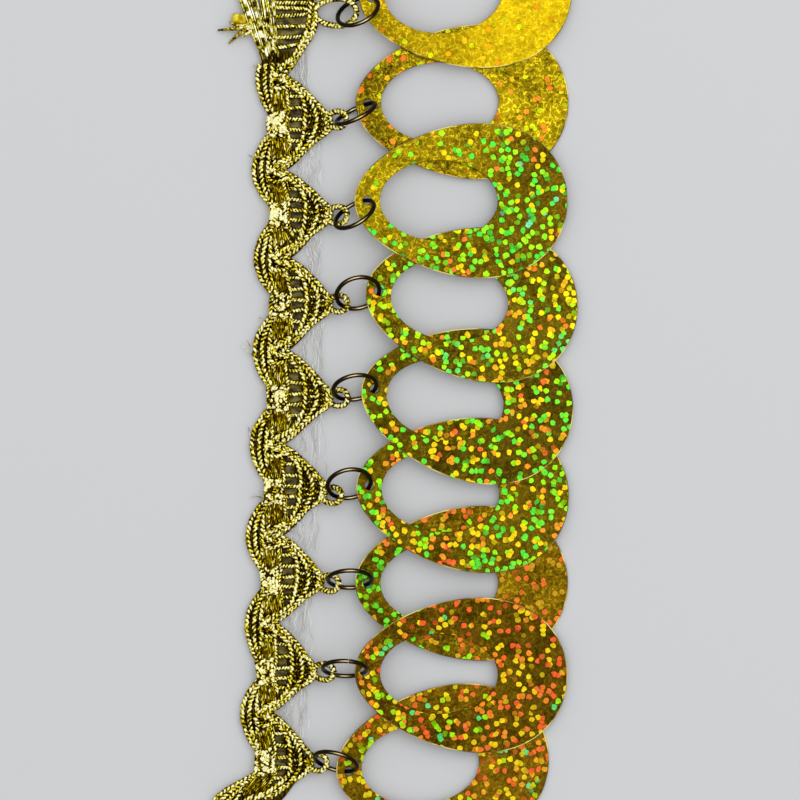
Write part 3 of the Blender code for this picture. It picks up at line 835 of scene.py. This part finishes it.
def makeScrap():
    # a scrap of the film, caught in the cut cords
    bm = bmesh.new()
    bmesh.ops.create_grid(bm, x_segments=8, y_segments=5, size=0.5)
    bmesh.ops.scale(bm, verts=bm.verts, vec=(scrap["wide"] * pixel, scrap["deep"] * pixel, 1.0))
    for vert in bm.verts:
        wave = math.sin(vert.co.x / (scrap["wave"] * pixel))
        vert.co.z = scrap["lift"] * mm * wave + vert.co.y * scrap["slope"]
    bmesh.ops.solidify(bm, geom=bm.faces[:], thickness=scrap["thick"] * mm)
    bmesh.ops.recalc_face_normals(bm, faces=bm.faces)
    bmesh.ops.rotate(bm, verts=bm.verts, matrix=Matrix.Rotation(math.radians(-scrap["turn"]), 3, "Z"))
    bmesh.ops.translate(bm, verts=bm.verts, vec=at(scrap["x"], scrap["y"], scrap["height"]))
    mesh = meshFrom(bm, "film_scrap")
    mesh.shade_smooth()
    finishPiece("film_scrap", mesh, tornFilm())


makeLooseEnd()
makeScrap()
print("loose end: strands, cut cords and a scrap of film")


# Paillettes

# mm; the eye is the ring's hole, with its radius, and the rim is how far the edges are rounded
film = {"thick": 0.35, "length": 35.5, "width": 25.35, "skew": 0.20, "holeLength": 19.6,
        "holeWidth": 13.3, "holeBack": 3.7, "eye": 0.72, "seat": 0.15, "rim": 0.14}
# Each film's middle in pixels, its turn in degrees, how far its eye is from the middle in mm, the
# height of its free end, how far it rises to its eye and how it leans sideways.
paillettes = [
    {"x": 465.5, "y": -7.5, "turn": -4.0, "eye": 15.65, "tip": 0.78, "rise": 1.45, "lean": 0.045},
    {"x": 462.0, "y": 102.5, "turn": -1.0, "eye": 15.65, "tip": 0.19, "rise": 1.45, "lean": 0.0},
    {"x": 461.0, "y": 201.0, "turn": 0.0, "eye": 15.65, "tip": 1.36, "rise": 1.50, "lean": 0.018},
    {"x": 471.5, "y": 303.0, "turn": 7.0, "eye": 15.65, "tip": 0.90, "rise": 1.60, "lean": 0.045},
    {"x": 467.0, "y": 403.5, "turn": 9.0, "eye": 15.65, "tip": 0.95, "rise": 1.48, "lean": 0.045},
    {"x": 462.5, "y": 493.5, "turn": 5.0, "eye": 15.65, "tip": 0.90, "rise": 1.45, "lean": 0.051},
    {"x": 461.5, "y": 583.0, "turn": 0.0, "eye": 15.65, "tip": 0.19, "rise": 1.80, "lean": 0.0},
    {"x": 461.0, "y": 674.0, "turn": 2.0, "eye": 16.1, "tip": 0.87, "rise": 2.05, "lean": 0.0},
    {"x": 442.5, "y": 762.5, "turn": -5.0, "eye": 15.65, "tip": 0.19, "rise": 1.45, "lean": 0.0},
]
# Each film's ground colour at its ring end and its free end, partly the lacquer's own and partly a painted
# reflection of how much light the film catches at its tilt, how strongly the crackle shows at each, how
# blotchy the ground is, the share of cells with a dot and the dots' colours, which are painted reflections.
# A slope turns the change from end to end aslant, and a lean shifts the hues from one end to the other.
filmLooks = [
    {"near": "#907808", "far": "#BC9E0A", "crackle": (0.70, 0.60), "blotch": 0.36, "dots": (0.14, 0.08),
     "colours": ["#F0A010", "#F0B818", "#D8E010", "#F09818"]},
    {"near": "#74600A", "far": "#96800A", "crackle": (0.70, 0.90), "blotch": 0.70, "dots": (0.34, 0.22),
     "colours": ["#E8B020", "#F09428", "#D8E018", "#E87828"]},
    {"near": "#9A840C", "far": "#5A4808", "slope": 0.5, "crackle": (0.90, 0.14), "blotch": 0.55,
     "dots": (0.34, 0.76),
     "colours": ["#F08030", "#E8D018", "#90EC28", "#50E040", "#A8F020", "#70DC98"]},
    {"near": "#5E4E08", "far": "#584A0A", "crackle": (0.30, 0.12), "blotch": 0.60, "dots": (0.62, 0.84),
     "colours": ["#68DC60", "#78E438", "#B8F01C", "#F0E018", "#F0B020", "#F08428"]},
    {"near": "#564608", "far": "#4C3E08", "crackle": (0.16, 0.08), "blotch": 0.60, "dots": (0.78, 0.84),
     "colours": ["#F0702C", "#F0A424", "#F0D01C", "#A8F01C", "#60E038", "#74E434", "#F09428"]},
    {"near": "#604E08", "far": "#5C4A08", "crackle": (0.14, 0.14), "blotch": 0.60, "dots": (0.90, 0.96),
     "colours": ["#F06830", "#F09C2C", "#F0D01C", "#9CF01C", "#5CE03C", "#78E43C"]},
    {"near": "#5E4A08", "far": "#745808", "lean": 0.7, "crackle": (0.20, 0.28), "blotch": 0.60,
     "dots": (0.90, 0.50),
     "colours": ["#70E830", "#A0E41C", "#D8A820", "#F08030", "#E8702C", "#C89820"]},
    {"near": "#5E4408", "far": "#564006", "lean": 0.25, "crackle": (0.20, 0.10), "blotch": 0.60,
     "dots": (0.78, 0.84),
     "colours": ["#60DC70", "#A0E81C", "#F0D41C", "#F09028", "#F0642C", "#F0C81C", "#F07830"]},
    {"near": "#705408", "far": "#72540A", "crackle": (0.24, 0.16), "blotch": 0.60, "dots": (0.84, 0.90),
     "colours": ["#74DC84", "#B4E41C", "#F0DC1C", "#F0742C", "#F0A828", "#F0D01C", "#F0602C"]},
]
filmGrain = {
    "near": -0.40, "far": 0.20,  # where the ring end's look stops and the free end's begins, in film lengths
    "dot": 0.46, "dotCell": 2.1, "layers": 4,  # mm: a dot's radius and the cell that it is alone in
    "fullest": 0.8,  # share of the cells that can have a dot
    "ragged": 0.50, "raggedGrain": 0.6,  # mm that a dot's edge strays, and over what length
    "soft": 0.06,  # share of its radius over which a dot's edge fades
    "halo": 1.45, "haloDark": 0.45,  # radii of the dark rim around a dot, and its depth
    "faint": 0.30, "faintShare": 0.35,  # the faintest dots and how many are fainter than full
    "hue": 4.5, "hueDrift": 0.62, "hueOwn": 0.38,  # mm; what neighbours share of a hue, and a dot's own
    "sparkle": (0.78, 1.15),  # a dot's darkest and brightest specks, a painted sparkle
    "crackle": 1.0, "line": 0.034, "vein": "#FFE422", "crease": 0.35,  # mm; bright veins, a painted highlight, and dark creases, painted shade, on the sides of fine wrinkles
    "mottle": 0.9, "cloud": 5.0, "cloudShare": 0.5,  # mm; fine mottling and the clouds added to it
    "calm": 0.58, "blotched": 0.92,  # how much of both it takes for a dark and for a bright blotch
    "bump": 0.1, "roughness": 0.34,
}


def filmOutline(eye):
    curve = bpy.data.curves.new("film", "CURVE")
    curve.dimensions = "2D"
    curve.fill_mode = "BOTH"
    curve.extrude = (film["thick"] / 2 - film["rim"]) * mm
    curve.bevel_depth = film["rim"] * mm
    curve.bevel_resolution = 2
    curve.offset = -film["rim"] * mm
    loops = [
        (120, 0.0, film["length"] / 2, film["width"] / 2, film["skew"]),
        (90, -film["holeBack"], film["holeLength"] / 2, film["holeWidth"] / 2, 0.0),
        (28, -eye, film["eye"], film["eye"], 0.0),
    ]
    for count, middle, along, across, skew in loops:
        points = []
        for index in range(count):
            angle = 2 * math.pi * index / count
            x = middle + along * math.cos(angle)
            y = across * math.sin(angle) * (1 + skew * math.cos(angle))
            points.append((x * mm, y * mm))
        addLoop(curve, points)
    return curve


def outward(point):
    # 0 in the film's middle, 1 on its outer edge
    along = point.x / (film["length"] / 2 * mm)
    across = point.y / (film["width"] / 2 * mm * (1 + film["skew"] * along))
    return along ** 2 + across ** 2


def filmFrame(row):
    turn = math.radians(-row["turn"])
    along = Vector((math.cos(turn), math.sin(turn), 0.0))
    across = Vector((-math.sin(turn), math.cos(turn), 0.0))
    slope = -row["rise"] / (film["length"] / 2 + row["eye"])
    xAxis = (along + Vector((0, 0, slope))).normalized()
    yAxis = across + Vector((0, 0, -row["lean"]))
    zAxis = xAxis.cross(yAxis).normalized()
    matrix = Matrix((xAxis, zAxis.cross(xAxis), zAxis)).transposed().to_4x4()
    matrix.translation = at(row["x"], row["y"], row["tip"] - slope * film["length"] / 2)
    return matrix


def paintGround(tree, centred, along, look):
    # gold lacquer, crackled and clouded, with painted highlight and shade on its wrinkles; gives the colour
    # and the fine ripple
    sheet = addNode(tree, "ShaderNodeMix", {
        "data_type": "RGBA", "Factor": along, "A": hexColour(look["near"]), "B": hexColour(look["far"])})
    ripple = addNode(tree, "ShaderNodeTexNoise", {
        "Vector": centred, "Scale": 1 / (filmGrain["mottle"] * mm), "Detail": 5.0, "Roughness": 0.7})
    # the crackle: bright wavy lines, a painted highlight, and dark ones, painted shade, each where a noise
    # passes through its middle
    crackle = addNode(tree, "ShaderNodeTexNoise", {
        "Vector": centred, "Scale": 1 / (filmGrain["crackle"] * mm), "Detail": 2.5, "Distortion": 0.3})
    families = addNode(tree, "ShaderNodeSeparateColor", {"Color": crackle.outputs["Color"]})
    near, far = look["crackle"]
    strength = addNode(tree, "ShaderNodeMapRange", {"Value": along, "To Min": near, "To Max": far})
    lines = []
    for family in ("Green", "Blue"):
        offset = addNode(tree, "ShaderNodeMath", {
            "operation": "SUBTRACT", 0: families.outputs[family], 1: 0.5})
        apart = addNode(tree, "ShaderNodeMath", {"operation": "ABSOLUTE", 0: offset.outputs[0]})
        line = addNode(tree, "ShaderNodeMapRange", {
            "Value": apart.outputs[0], "From Min": 0.0, "From Max": filmGrain["line"],
            "To Min": 1.0, "To Max": 0.0})
        lines.append(addNode(tree, "ShaderNodeMath", {
            "operation": "MULTIPLY", 0: line.outputs["Result"], 1: strength.outputs["Result"]}))
    wrinkleLit, wrinkleShaded = lines
    ground = addNode(tree, "ShaderNodeMix", {
        "data_type": "RGBA", "Factor": wrinkleLit.outputs[0], "A": sheet.outputs[2],
        "B": hexColour(filmGrain["vein"])})
    cloud = addNode(tree, "ShaderNodeTexNoise", {
        "Vector": centred, "Scale": 1 / (filmGrain["cloud"] * mm), "Detail": 1.0})
    clouded = addNode(tree, "ShaderNodeMath", {
        "operation": "MULTIPLY_ADD", 0: cloud.outputs["Fac"], 1: filmGrain["cloudShare"],
        2: ripple.outputs["Fac"]})
    patches = addNode(tree, "ShaderNodeMapRange", {
        "Value": clouded.outputs[0], "From Min": filmGrain["calm"], "From Max": filmGrain["blotched"],
        "To Min": 1 - look["blotch"], "To Max": 1 + look["blotch"] * 0.8})
    dulled = addNode(tree, "ShaderNodeMath", {
        "operation": "MULTIPLY_ADD", 0: wrinkleShaded.outputs[0], 1: -filmGrain["crease"],
        2: patches.outputs["Result"]})
    colour = addNode(tree, "ShaderNodeVectorMath", {
        "operation": "SCALE", 0: ground.outputs[2], "Scale": dulled.outputs[0]})
    return colour.outputs[0], ripple.outputs["Fac"]


def paintDots(tree, colour, ragged, place, look, share, slant, sparkle):
    # one layer of dots over the colour, a dot to a cell where the cell has one
    count = len(look["colours"])
    radius = filmGrain["dot"] / filmGrain["dotCell"]
    shifted = addNode(tree, "ShaderNodeMapping", {"Vector": ragged, **place})
    dots = addNode(tree, "ShaderNodeTexVoronoi", {
        "voronoi_dimensions": "2D", "Vector": shifted.outputs["Vector"],
        "Scale": 1 / (filmGrain["dotCell"] * mm)})
    pick = addNode(tree, "ShaderNodeSeparateColor", {"Color": dots.outputs["Color"]})
    present = addNode(tree, "ShaderNodeMath", {"operation": "LESS_THAN", 0: pick.outputs["Red"], 1: share})
    # a dark rim around each dot
    halo = addNode(tree, "ShaderNodeMapRange", {
        "Value": dots.outputs["Distance"], "From Min": radius, "From Max": radius * filmGrain["halo"],
        "To Min": filmGrain["haloDark"], "To Max": 0.0})
    shadow = addNode(tree, "ShaderNodeMath", {
        "operation": "MULTIPLY", 0: halo.outputs["Result"], 1: present.outputs[0]})
    kept = addNode(tree, "ShaderNodeMath", {"operation": "SUBTRACT", 0: 1.0, 1: shadow.outputs[0]})
    around = addNode(tree, "ShaderNodeVectorMath", {
        "operation": "SCALE", 0: colour, "Scale": kept.outputs[0]})
    # the dot itself, some fainter than others
    inside = addNode(tree, "ShaderNodeMapRange", {
        "Value": dots.outputs["Distance"], "From Min": radius * (1 - filmGrain["soft"]),
        "From Max": radius * (1 + filmGrain["soft"]), "To Min": 1.0, "To Max": 0.0})
    strong = addNode(tree, "ShaderNodeMapRange", {
        "Value": pick.outputs["Blue"], "From Min": 0.0, "From Max": filmGrain["faintShare"],
        "To Min": filmGrain["faint"], "To Max": 1.0})
    whole = addNode(tree, "ShaderNodeMath", {
        "operation": "MULTIPLY", 0: inside.outputs["Result"], 1: present.outputs[0]})
    mask = addNode(tree, "ShaderNodeMath", {
        "operation": "MULTIPLY", 0: whole.outputs[0], 1: strong.outputs["Result"]})
    # the dot's own middle, back in the film's place, so that a dot has one hue
    middle = addNode(tree, "ShaderNodeMapping", {
        "vector_type": "TEXTURE", "Vector": dots.outputs["Position"], **place})
    drift = addNode(tree, "ShaderNodeTexNoise", {
        "Vector": middle.outputs["Vector"], "Scale": 1 / (filmGrain["hue"] * mm), "Detail": 1.0})
    hue = addNode(tree, "ShaderNodeMapRange", {
        "Value": drift.outputs["Fac"], "From Min": 0.36, "From Max": 0.64,
        "To Min": 0.0, "To Max": filmGrain["hueDrift"]})
    leaned = addNode(tree, "ShaderNodeMath", {"operation": "ADD", 0: hue.outputs["Result"], 1: slant})
    chosen = addNode(tree, "ShaderNodeMath", {
        "operation": "MULTIPLY_ADD", 0: pick.outputs["Green"], 1: filmGrain["hueOwn"], 2: leaned.outputs[0]})
    dotColour = addNode(tree, "ShaderNodeValToRGB", {
        "Fac": chosen.outputs[0], "steps": "CONSTANT",
        "stops": [(index / count, code) for index, code in enumerate(look["colours"])]})
    lit = addNode(tree, "ShaderNodeVectorMath", {
        "operation": "SCALE", 0: dotColour.outputs["Color"], "Scale": sparkle})
    mixed = addNode(tree, "ShaderNodeMix", {
        "data_type": "RGBA", "Factor": mask.outputs[0], "A": around.outputs[0], "B": lit.outputs[0]})
    return mixed.outputs[2]


def paintFilm(number, row, look):
    # Holographic film: gold lacquered polyester, embossed with round dots 1 mm across. The colour each
    # dot throws back is a painted reflection, one to a dot, neighbours often the same one, over a crackled
    # gold ground.
    material, tree, shader = newMaterial(f"gold holographic film, embossed {number}")
    place = addNode(tree, "ShaderNodeTexCoord", {})
    centred = addNode(tree, "ShaderNodeMapping", {
        "vector_type": "TEXTURE", "Vector": place.outputs["Object"], "Location": at(row["x"], row["y"]),
        "Rotation": (0.0, 0.0, math.radians(-row["turn"]))}).outputs["Vector"]
    split = addNode(tree, "ShaderNodeSeparateXYZ", {"Vector": centred})
    sloped = addNode(tree, "ShaderNodeMath", {
        "operation": "MULTIPLY_ADD", 0: split.outputs["Y"], 1: -look.get("slope", 0.0),
        2: split.outputs["X"]})
    along = addNode(tree, "ShaderNodeMapRange", {
        "Value": sloped.outputs[0], "From Min": filmGrain["near"] * film["length"] * mm,
        "From Max": filmGrain["far"] * film["length"] * mm}).outputs["Result"]
    colour, ripple = paintGround(tree, centred, along, look)
    few, many = look["dots"]
    share = addNode(tree, "ShaderNodeMapRange", {
        "Value": along, "To Min": few * filmGrain["fullest"], "To Max": many * filmGrain["fullest"]})
    lean = look.get("lean", 0.0)
    slant = addNode(tree, "ShaderNodeMapRange", {"Value": along, "To Min": -lean / 2, "To Max": lean / 2})
    rough = addNode(tree, "ShaderNodeTexNoise", {
        "Vector": centred, "Scale": 1 / (filmGrain["raggedGrain"] * mm), "Detail": 1.0})
    ragged = addNode(tree, "ShaderNodeVectorMath", {
        "operation": "MULTIPLY_ADD", 0: rough.outputs["Color"], 1: (filmGrain["ragged"] * mm,) * 3,
        2: centred})
    dim, bright = filmGrain["sparkle"]
    sparkle = addNode(tree, "ShaderNodeMapRange", {
        "Value": ripple, "From Min": 0.38, "From Max": 0.62, "To Min": dim, "To Max": bright})
    for layer in range(filmGrain["layers"]):
        # each layer of each film has its own run of dots
        shift = {"Location": (0.013 * number + 0.0071 * layer, 0.009 * number - 0.0053 * layer, 0.0),
                 "Rotation": (0.0, 0.0, 0.7 * layer + 0.3 * number)}
        colour = paintDots(tree, colour, ragged.outputs[0], shift, look, share.outputs["Result"],
                           slant.outputs["Result"], sparkle.outputs["Result"])
    bump = addNode(tree, "ShaderNodeBump", {
        "Height": ripple, "Strength": 0.25, "Distance": filmGrain["bump"] * mm})
    tree.links.new(colour, shader.inputs["Base Color"])
    tree.links.new(bump.outputs["Normal"], shader.inputs["Normal"])
    shader.inputs["Metallic"].default_value = 1.0
    shader.inputs["Roughness"].default_value = filmGrain["roughness"]
    return material


# the first size is in mm, between brighter and duller stretches of the painted rim highlight; a face is on
# the outer edge if it is less level than this and further out than that
edge = {"rimGlintPatch": 4.5, "level": 0.97, "outer": 0.9, "crease": 40.0,
        "stops": [(0.42, "#5A480A"), (0.50, "#A88E28"), (0.60, "#F4E680")]}


def paintedRimHighlight():
    # The film's punched outer edge, painted as a thin pale gold highlight line, brighter in some stretches.
    material, tree, shader = newMaterial("punched polyester edge")
    place = addNode(tree, "ShaderNodeTexCoord", {})
    rimGlintPatch = addNode(tree, "ShaderNodeTexNoise", {
        "Vector": place.outputs["Object"], "Scale": 1 / (edge["rimGlintPatch"] * mm), "Detail": 2.0})
    colour = addNode(tree, "ShaderNodeValToRGB", {"Fac": rimGlintPatch.outputs["Fac"], "stops": edge["stops"]})
    tree.links.new(colour.outputs["Color"], shader.inputs["Base Color"])
    shader.inputs["Metallic"].default_value = 0.3
    shader.inputs["Roughness"].default_value = 0.35
    return material


def onEdge(face):
    # the painted highlight goes on the outer edge only; the edges of the holes keep the film's own colour
    return abs(face.normal.z) < edge["level"] and outward(face.center) > edge["outer"]


edgeLook = paintedRimHighlight()
eyes = []
for number, (row, look) in enumerate(zip(paillettes, filmLooks), 1):
    mesh = meshFromCurve("film", filmOutline(row["eye"]))
    rimHighlit = [onEdge(face) for face in mesh.polygons]
    mesh.transform(filmFrame(row))
    mesh.shade_smooth()
    mesh.set_sharp_from_angle(angle=math.radians(edge["crease"]))
    finishPiece(f"film_{number}", mesh, paintFilm(number, row, look),
                [f"paillette_{number}"])
    mesh.materials.append(edgeLook)
    mesh.polygons.foreach_set("material_index", rimHighlit)
    eyes.append(filmFrame(row) @ Vector(((film["seat"] - row["eye"]) * mm, 0.0, 0.0)))
print("paillettes:", len(paillettes))


# Jump rings

# mm, and degrees for the split, the crease and the tilt from lying flat; the stops colour the wire by how far
# it faces up: dark on its sides, partly patina and partly painted shade, and a painted highlight along its
# top
ring = {"radius": 3.625, "wire": 0.375, "split": 2.4, "steps": 72, "sides": 16, "crease": 60.0,
        "stops": [(0.0, "#120C05"), (0.92, "#231A0C"), (0.972, "#7E6836"), (0.994, "#EAD8A4")]}
rings = [
    {"tilt": 54.0, "up": -1, "split": 200.0}, {"tilt": 74.0, "up": -1, "split": 150.0},
    {"tilt": 62.0, "up": -1, "split": 170.0}, {"tilt": 47.0, "up": 1, "split": 205.0},
    {"tilt": 57.0, "up": 1, "split": 130.0}, {"tilt": 49.0, "up": 1, "split": 195.0},
    {"tilt": 65.0, "up": 1, "split": 190.0}, {"tilt": 67.0, "up": 1, "split": 75.0},
    {"tilt": 64.0, "up": 1, "split": 185.0},
]


def ringFrame(row, picot, eye):
    # the ring goes through its picot and its film's eye, and tilts about the line between them
    chord = eye - picot
    uAxis = chord.normalized()
    level = Vector((0, 0, 1)).cross(uAxis).normalized() * row["up"]
    rise = uAxis.cross(level) * row["up"]
    tilt = math.radians(row["tilt"])
    vAxis = level * math.cos(tilt) + rise * math.sin(tilt)
    offset = math.sqrt((ring["radius"] * mm) ** 2 - (chord.length / 2) ** 2)
    axes = Matrix((uAxis, vAxis, uAxis.cross(vAxis))).transposed().to_4x4()
    axes.translation = (picot + eye) / 2 + vAxis * offset
    return axes @ Matrix.Rotation(math.radians(row["split"]), 4, "Z")


def brassWithPaintedHighlight():
    # Brass wire, antiqued: nearly black where it faces sideways, partly patina and partly painted shade, with
    # a painted highlight in pale gold along the top of the wire.
    material, tree, shader = newMaterial("antiqued brass wire, tumbled")
    shape = addNode(tree, "ShaderNodeNewGeometry", {})
    split = addNode(tree, "ShaderNodeSeparateXYZ", {"Vector": shape.outputs["Normal"]})
    colour = addNode(tree, "ShaderNodeValToRGB", {"Fac": split.outputs["Z"], "stops": ring["stops"]})
    tree.links.new(colour.outputs["Color"], shader.inputs["Base Color"])
    shader.inputs["Metallic"].default_value = 1.0
    shader.inputs["Roughness"].default_value = 0.3
    return material


def ringMesh(name):
    # a round wire spun about the ring's middle, from one side of the split to the other
    bm = bmesh.new()
    section = Matrix.Translation((ring["radius"] * mm, 0, 0)) @ Matrix.Rotation(math.pi / 2, 4, "X")
    bmesh.ops.create_circle(
        bm, cap_ends=True, segments=ring["sides"], radius=ring["wire"] * mm, matrix=section)
    half = math.radians(ring["split"] / 2)
    bmesh.ops.rotate(bm, verts=bm.verts, matrix=Matrix.Rotation(half, 3, "Z"))
    bmesh.ops.spin(bm, geom=bm.verts[:] + bm.edges[:] + bm.faces[:], axis=(0, 0, 1),
                   angle=2 * math.pi - 2 * half, steps=ring["steps"])
    bmesh.ops.recalc_face_normals(bm, faces=bm.faces)
    return meshFrom(bm, name)


brass = brassWithPaintedHighlight()
for number, (row, picot, eye) in enumerate(zip(rings, picots, eyes), 1):
    mesh = ringMesh(f"ring_{number}")
    mesh.transform(ringFrame(row, at(picot["x"], picot["y"], picot["lift"]), eye))
    mesh.shade_smooth()
    mesh.set_sharp_from_angle(angle=math.radians(ring["crease"]))
    finishPiece(f"ring_{number}", mesh, brass, [f"jump_ring_{number}"])
print("jump rings:", len(rings))


# Fine nylon: loose ends on the left, and a haze of hairs in the valleys on the right

# Pixels, with heights in mm. The hairs are drawn thicker than real ones, so that they show.
hairs = {
    "radius": 0.42, "loose": 0.85, "sides": 6, "step": 2.5, "stations": 8,
    "valley": 10,  # hairs in each valley
    "offValley": 5, "offTips": 8,  # how far they keep from the valley's point and from the fans' tips
    "over": 2,  # how far they go in under the fans
    "wave": 2.2, "leanLeft": 7.0, "leanRight": 5.0, "shortest": 0.4,
    "low": 0.25, "rise": 0.35,  # mm above the board in the middle, and how much more at the ends
    "grain": (0.25, 40.0), "stops": [(0.40, "#C0C0B4"), (0.50, "#E6E7E2"), (0.60, "#FFFFFF")],
}
# how much a thread thins out, and its grain per mm along it and from one to the next
cotton = {"thin": 0.6, "grain": (0.8, 40.0),
          "stops": [(0.40, "#6E6A38"), (0.50, "#A8A684"), (0.62, "#DEDDC8")]}
looseHairs = [
    [(262.0, 66.5, 0.9), (254.0, 66.3, 0.7), (247.5, 67.0, 0.5)],
    [(262.0, 156.5, 0.9), (254.0, 157.5, 0.7), (247.0, 154.5, 0.6)],
    [(262.0, 362.0, 0.9), (250.0, 353.0, 0.6), (240.5, 344.5, 0.4)],
    [(259.0, 352.0, 0.9), (251.0, 347.0, 0.7), (246.5, 339.0, 0.6)],
    [(270.0, 321.0, 0.9), (262.0, 319.0, 0.8), (256.5, 315.5, 0.6)],
    [(266.0, 500.0, 0.9), (258.0, 496.5, 0.6), (249.0, 497.5, 0.5)],
    [(256.0, 440.0, 0.9), (250.5, 436.0, 0.5), (248.5, 426.0, 0.4)],
]


def nylon():
    # Monofilament nylon: clear, so only a faint pale line that turns grey here and there.
    material, tree, shader = newMaterial("clear nylon monofilament, drawn")
    change, _ = cordStreaks(tree, hairs["grain"], 1.0)
    colour = addNode(tree, "ShaderNodeValToRGB", {"Fac": change, "stops": hairs["stops"]})
    tree.links.new(colour.outputs["Color"], shader.inputs["Base Color"])
    shader.inputs["Roughness"].default_value = 0.35
    shader.inputs["Alpha"].default_value = 0.45
    return material


def looseThread():
    # Loose ends of the core: undyed cotton with scraps of gold left on it, so a dull straw grey.
    material, tree, shader = newMaterial("cotton core thread, spun")
    change, _ = cordStreaks(tree, cotton["grain"], 2.0)
    colour = addNode(tree, "ShaderNodeValToRGB", {"Fac": change, "stops": cotton["stops"]})
    tree.links.new(colour.outputs["Color"], shader.inputs["Base Color"])
    shader.inputs["Roughness"].default_value = 0.7
    return material


def hairPath(upper, lower, rng):
    # down a valley, from the edge of the fan above towards the edge of the one below
    x = rng.uniform(upper["valleyX"] + hairs["offValley"], upper["peakX"] - hairs["offTips"])
    away = (x - upper["valleyX"]) / (upper["peakX"] - upper["valleyX"])
    rise = away * (upper["lobeY"] - upper["peakY"])
    drop = away * (lower["peakY"] - upper["lobeY"])
    reach = rng.uniform(hairs["shortest"], 1.0)
    lean = rng.uniform(-hairs["leanLeft"], hairs["leanRight"])
    top = upper["lobeY"] - rise - hairs["over"]
    foot = upper["lobeY"] + (drop + hairs["over"]) * reach
    points = []
    for station in range(hairs["stations"]):
        t = station / (hairs["stations"] - 1)
        points.append(at(x + lean * t + stray(rng, hairs["wave"]), top + (foot - top) * t,
                         hairs["low"] + hairs["rise"] * abs(1 - 2 * t)))
    return smoothPath(points, hairs["step"] * pixel)


def cottonTaper(t):
    return 1 - cotton["thin"] * t


def makeHairs():
    rng = random.Random(23)
    valleys = list(zip(repeats, repeats[1:]))
    threads = [smoothPath([at(*point) for point in path], hairs["step"] * pixel) for path in looseHairs]
    fine = [hairPath(upper, lower, rng) for upper, lower in valleys for _ in range(hairs["valley"])]
    for name, paths, radius, material, taper in (
            ("loose_threads", threads, hairs["loose"], looseThread(), cottonTaper),
            ("nylon_hairs", fine, hairs["radius"], nylon(), None)):
        section = plyProfile(name, radius * pixel, 1.0, hairs["sides"])
        mesh = sweep(name, paths, section, taper=taper)
        bpy.data.objects.remove(section, do_unlink=True)
        finishPiece(name, mesh, material)
        print(name, len(paths))


makeHairs()


# Board, lights and camera

# metres, with the board's drop in mm; the lens and sensor in mm, and the view in pixels
board = {"size": 1.2, "middle": (0.02, 0.0), "drop": 0.02, "colour": "#CBCCCE", "roughness": 0.9}
light = {"world": 0.90, "power": 1.1, "size": 0.6, "place": (0.25, 0.30, 0.60)}
view = {"lens": 250.0, "sensor": 36.0, "span": 800.0, "middleX": 400.0, "middleY": 400.0}


def makeBoard():
    bm = bmesh.new()
    bmesh.ops.create_grid(bm, x_segments=1, y_segments=1, size=board["size"] / 2)
    mesh = meshFrom(bm, "board")
    # Card, coated: a flat pale grey with no gloss.
    material, tree, shader = newMaterial("coated card")
    shader.inputs["Base Color"].default_value = hexColour(board["colour"])
    shader.inputs["Roughness"].default_value = board["roughness"]
    mesh.materials.append(material)
    obj = linkObject("board", mesh)
    obj.location = (*board["middle"], -board["drop"] * mm)


def makeLights():
    # a soft box over the upper right, and an even pale studio around it
    data = bpy.data.lights.new("key", "AREA")
    data.size = light["size"]
    data.energy = light["power"]
    obj = linkObject("key", data)
    obj.location = light["place"]
    aim = Vector((*board["middle"], 0.0)) - Vector(light["place"])
    obj.rotation_euler = aim.to_track_quat("-Z", "Y").to_euler()
    world = bpy.data.worlds.new("studio")
    world.use_nodes = True
    world.node_tree.nodes["Background"].inputs["Color"].default_value = (1.0, 1.0, 1.0, 1.0)
    world.node_tree.nodes["Background"].inputs["Strength"].default_value = light["world"]
    bpy.context.scene.world = world
    bpy.context.scene.view_settings.view_transform = "Standard"


def makeCamera():
    # straight above, with the photograph's frame
    data = bpy.data.cameras.new("camera")
    data.lens = view["lens"]
    data.sensor_width = view["sensor"]
    camera = linkObject("camera", data)
    camera.location = at(view["middleX"], view["middleY"])
    camera.location.z = view["span"] * pixel * view["lens"] / view["sensor"]
    bpy.context.scene.camera = camera


makeBoard()
makeLights()
makeCamera()
print("board, lights and camera")
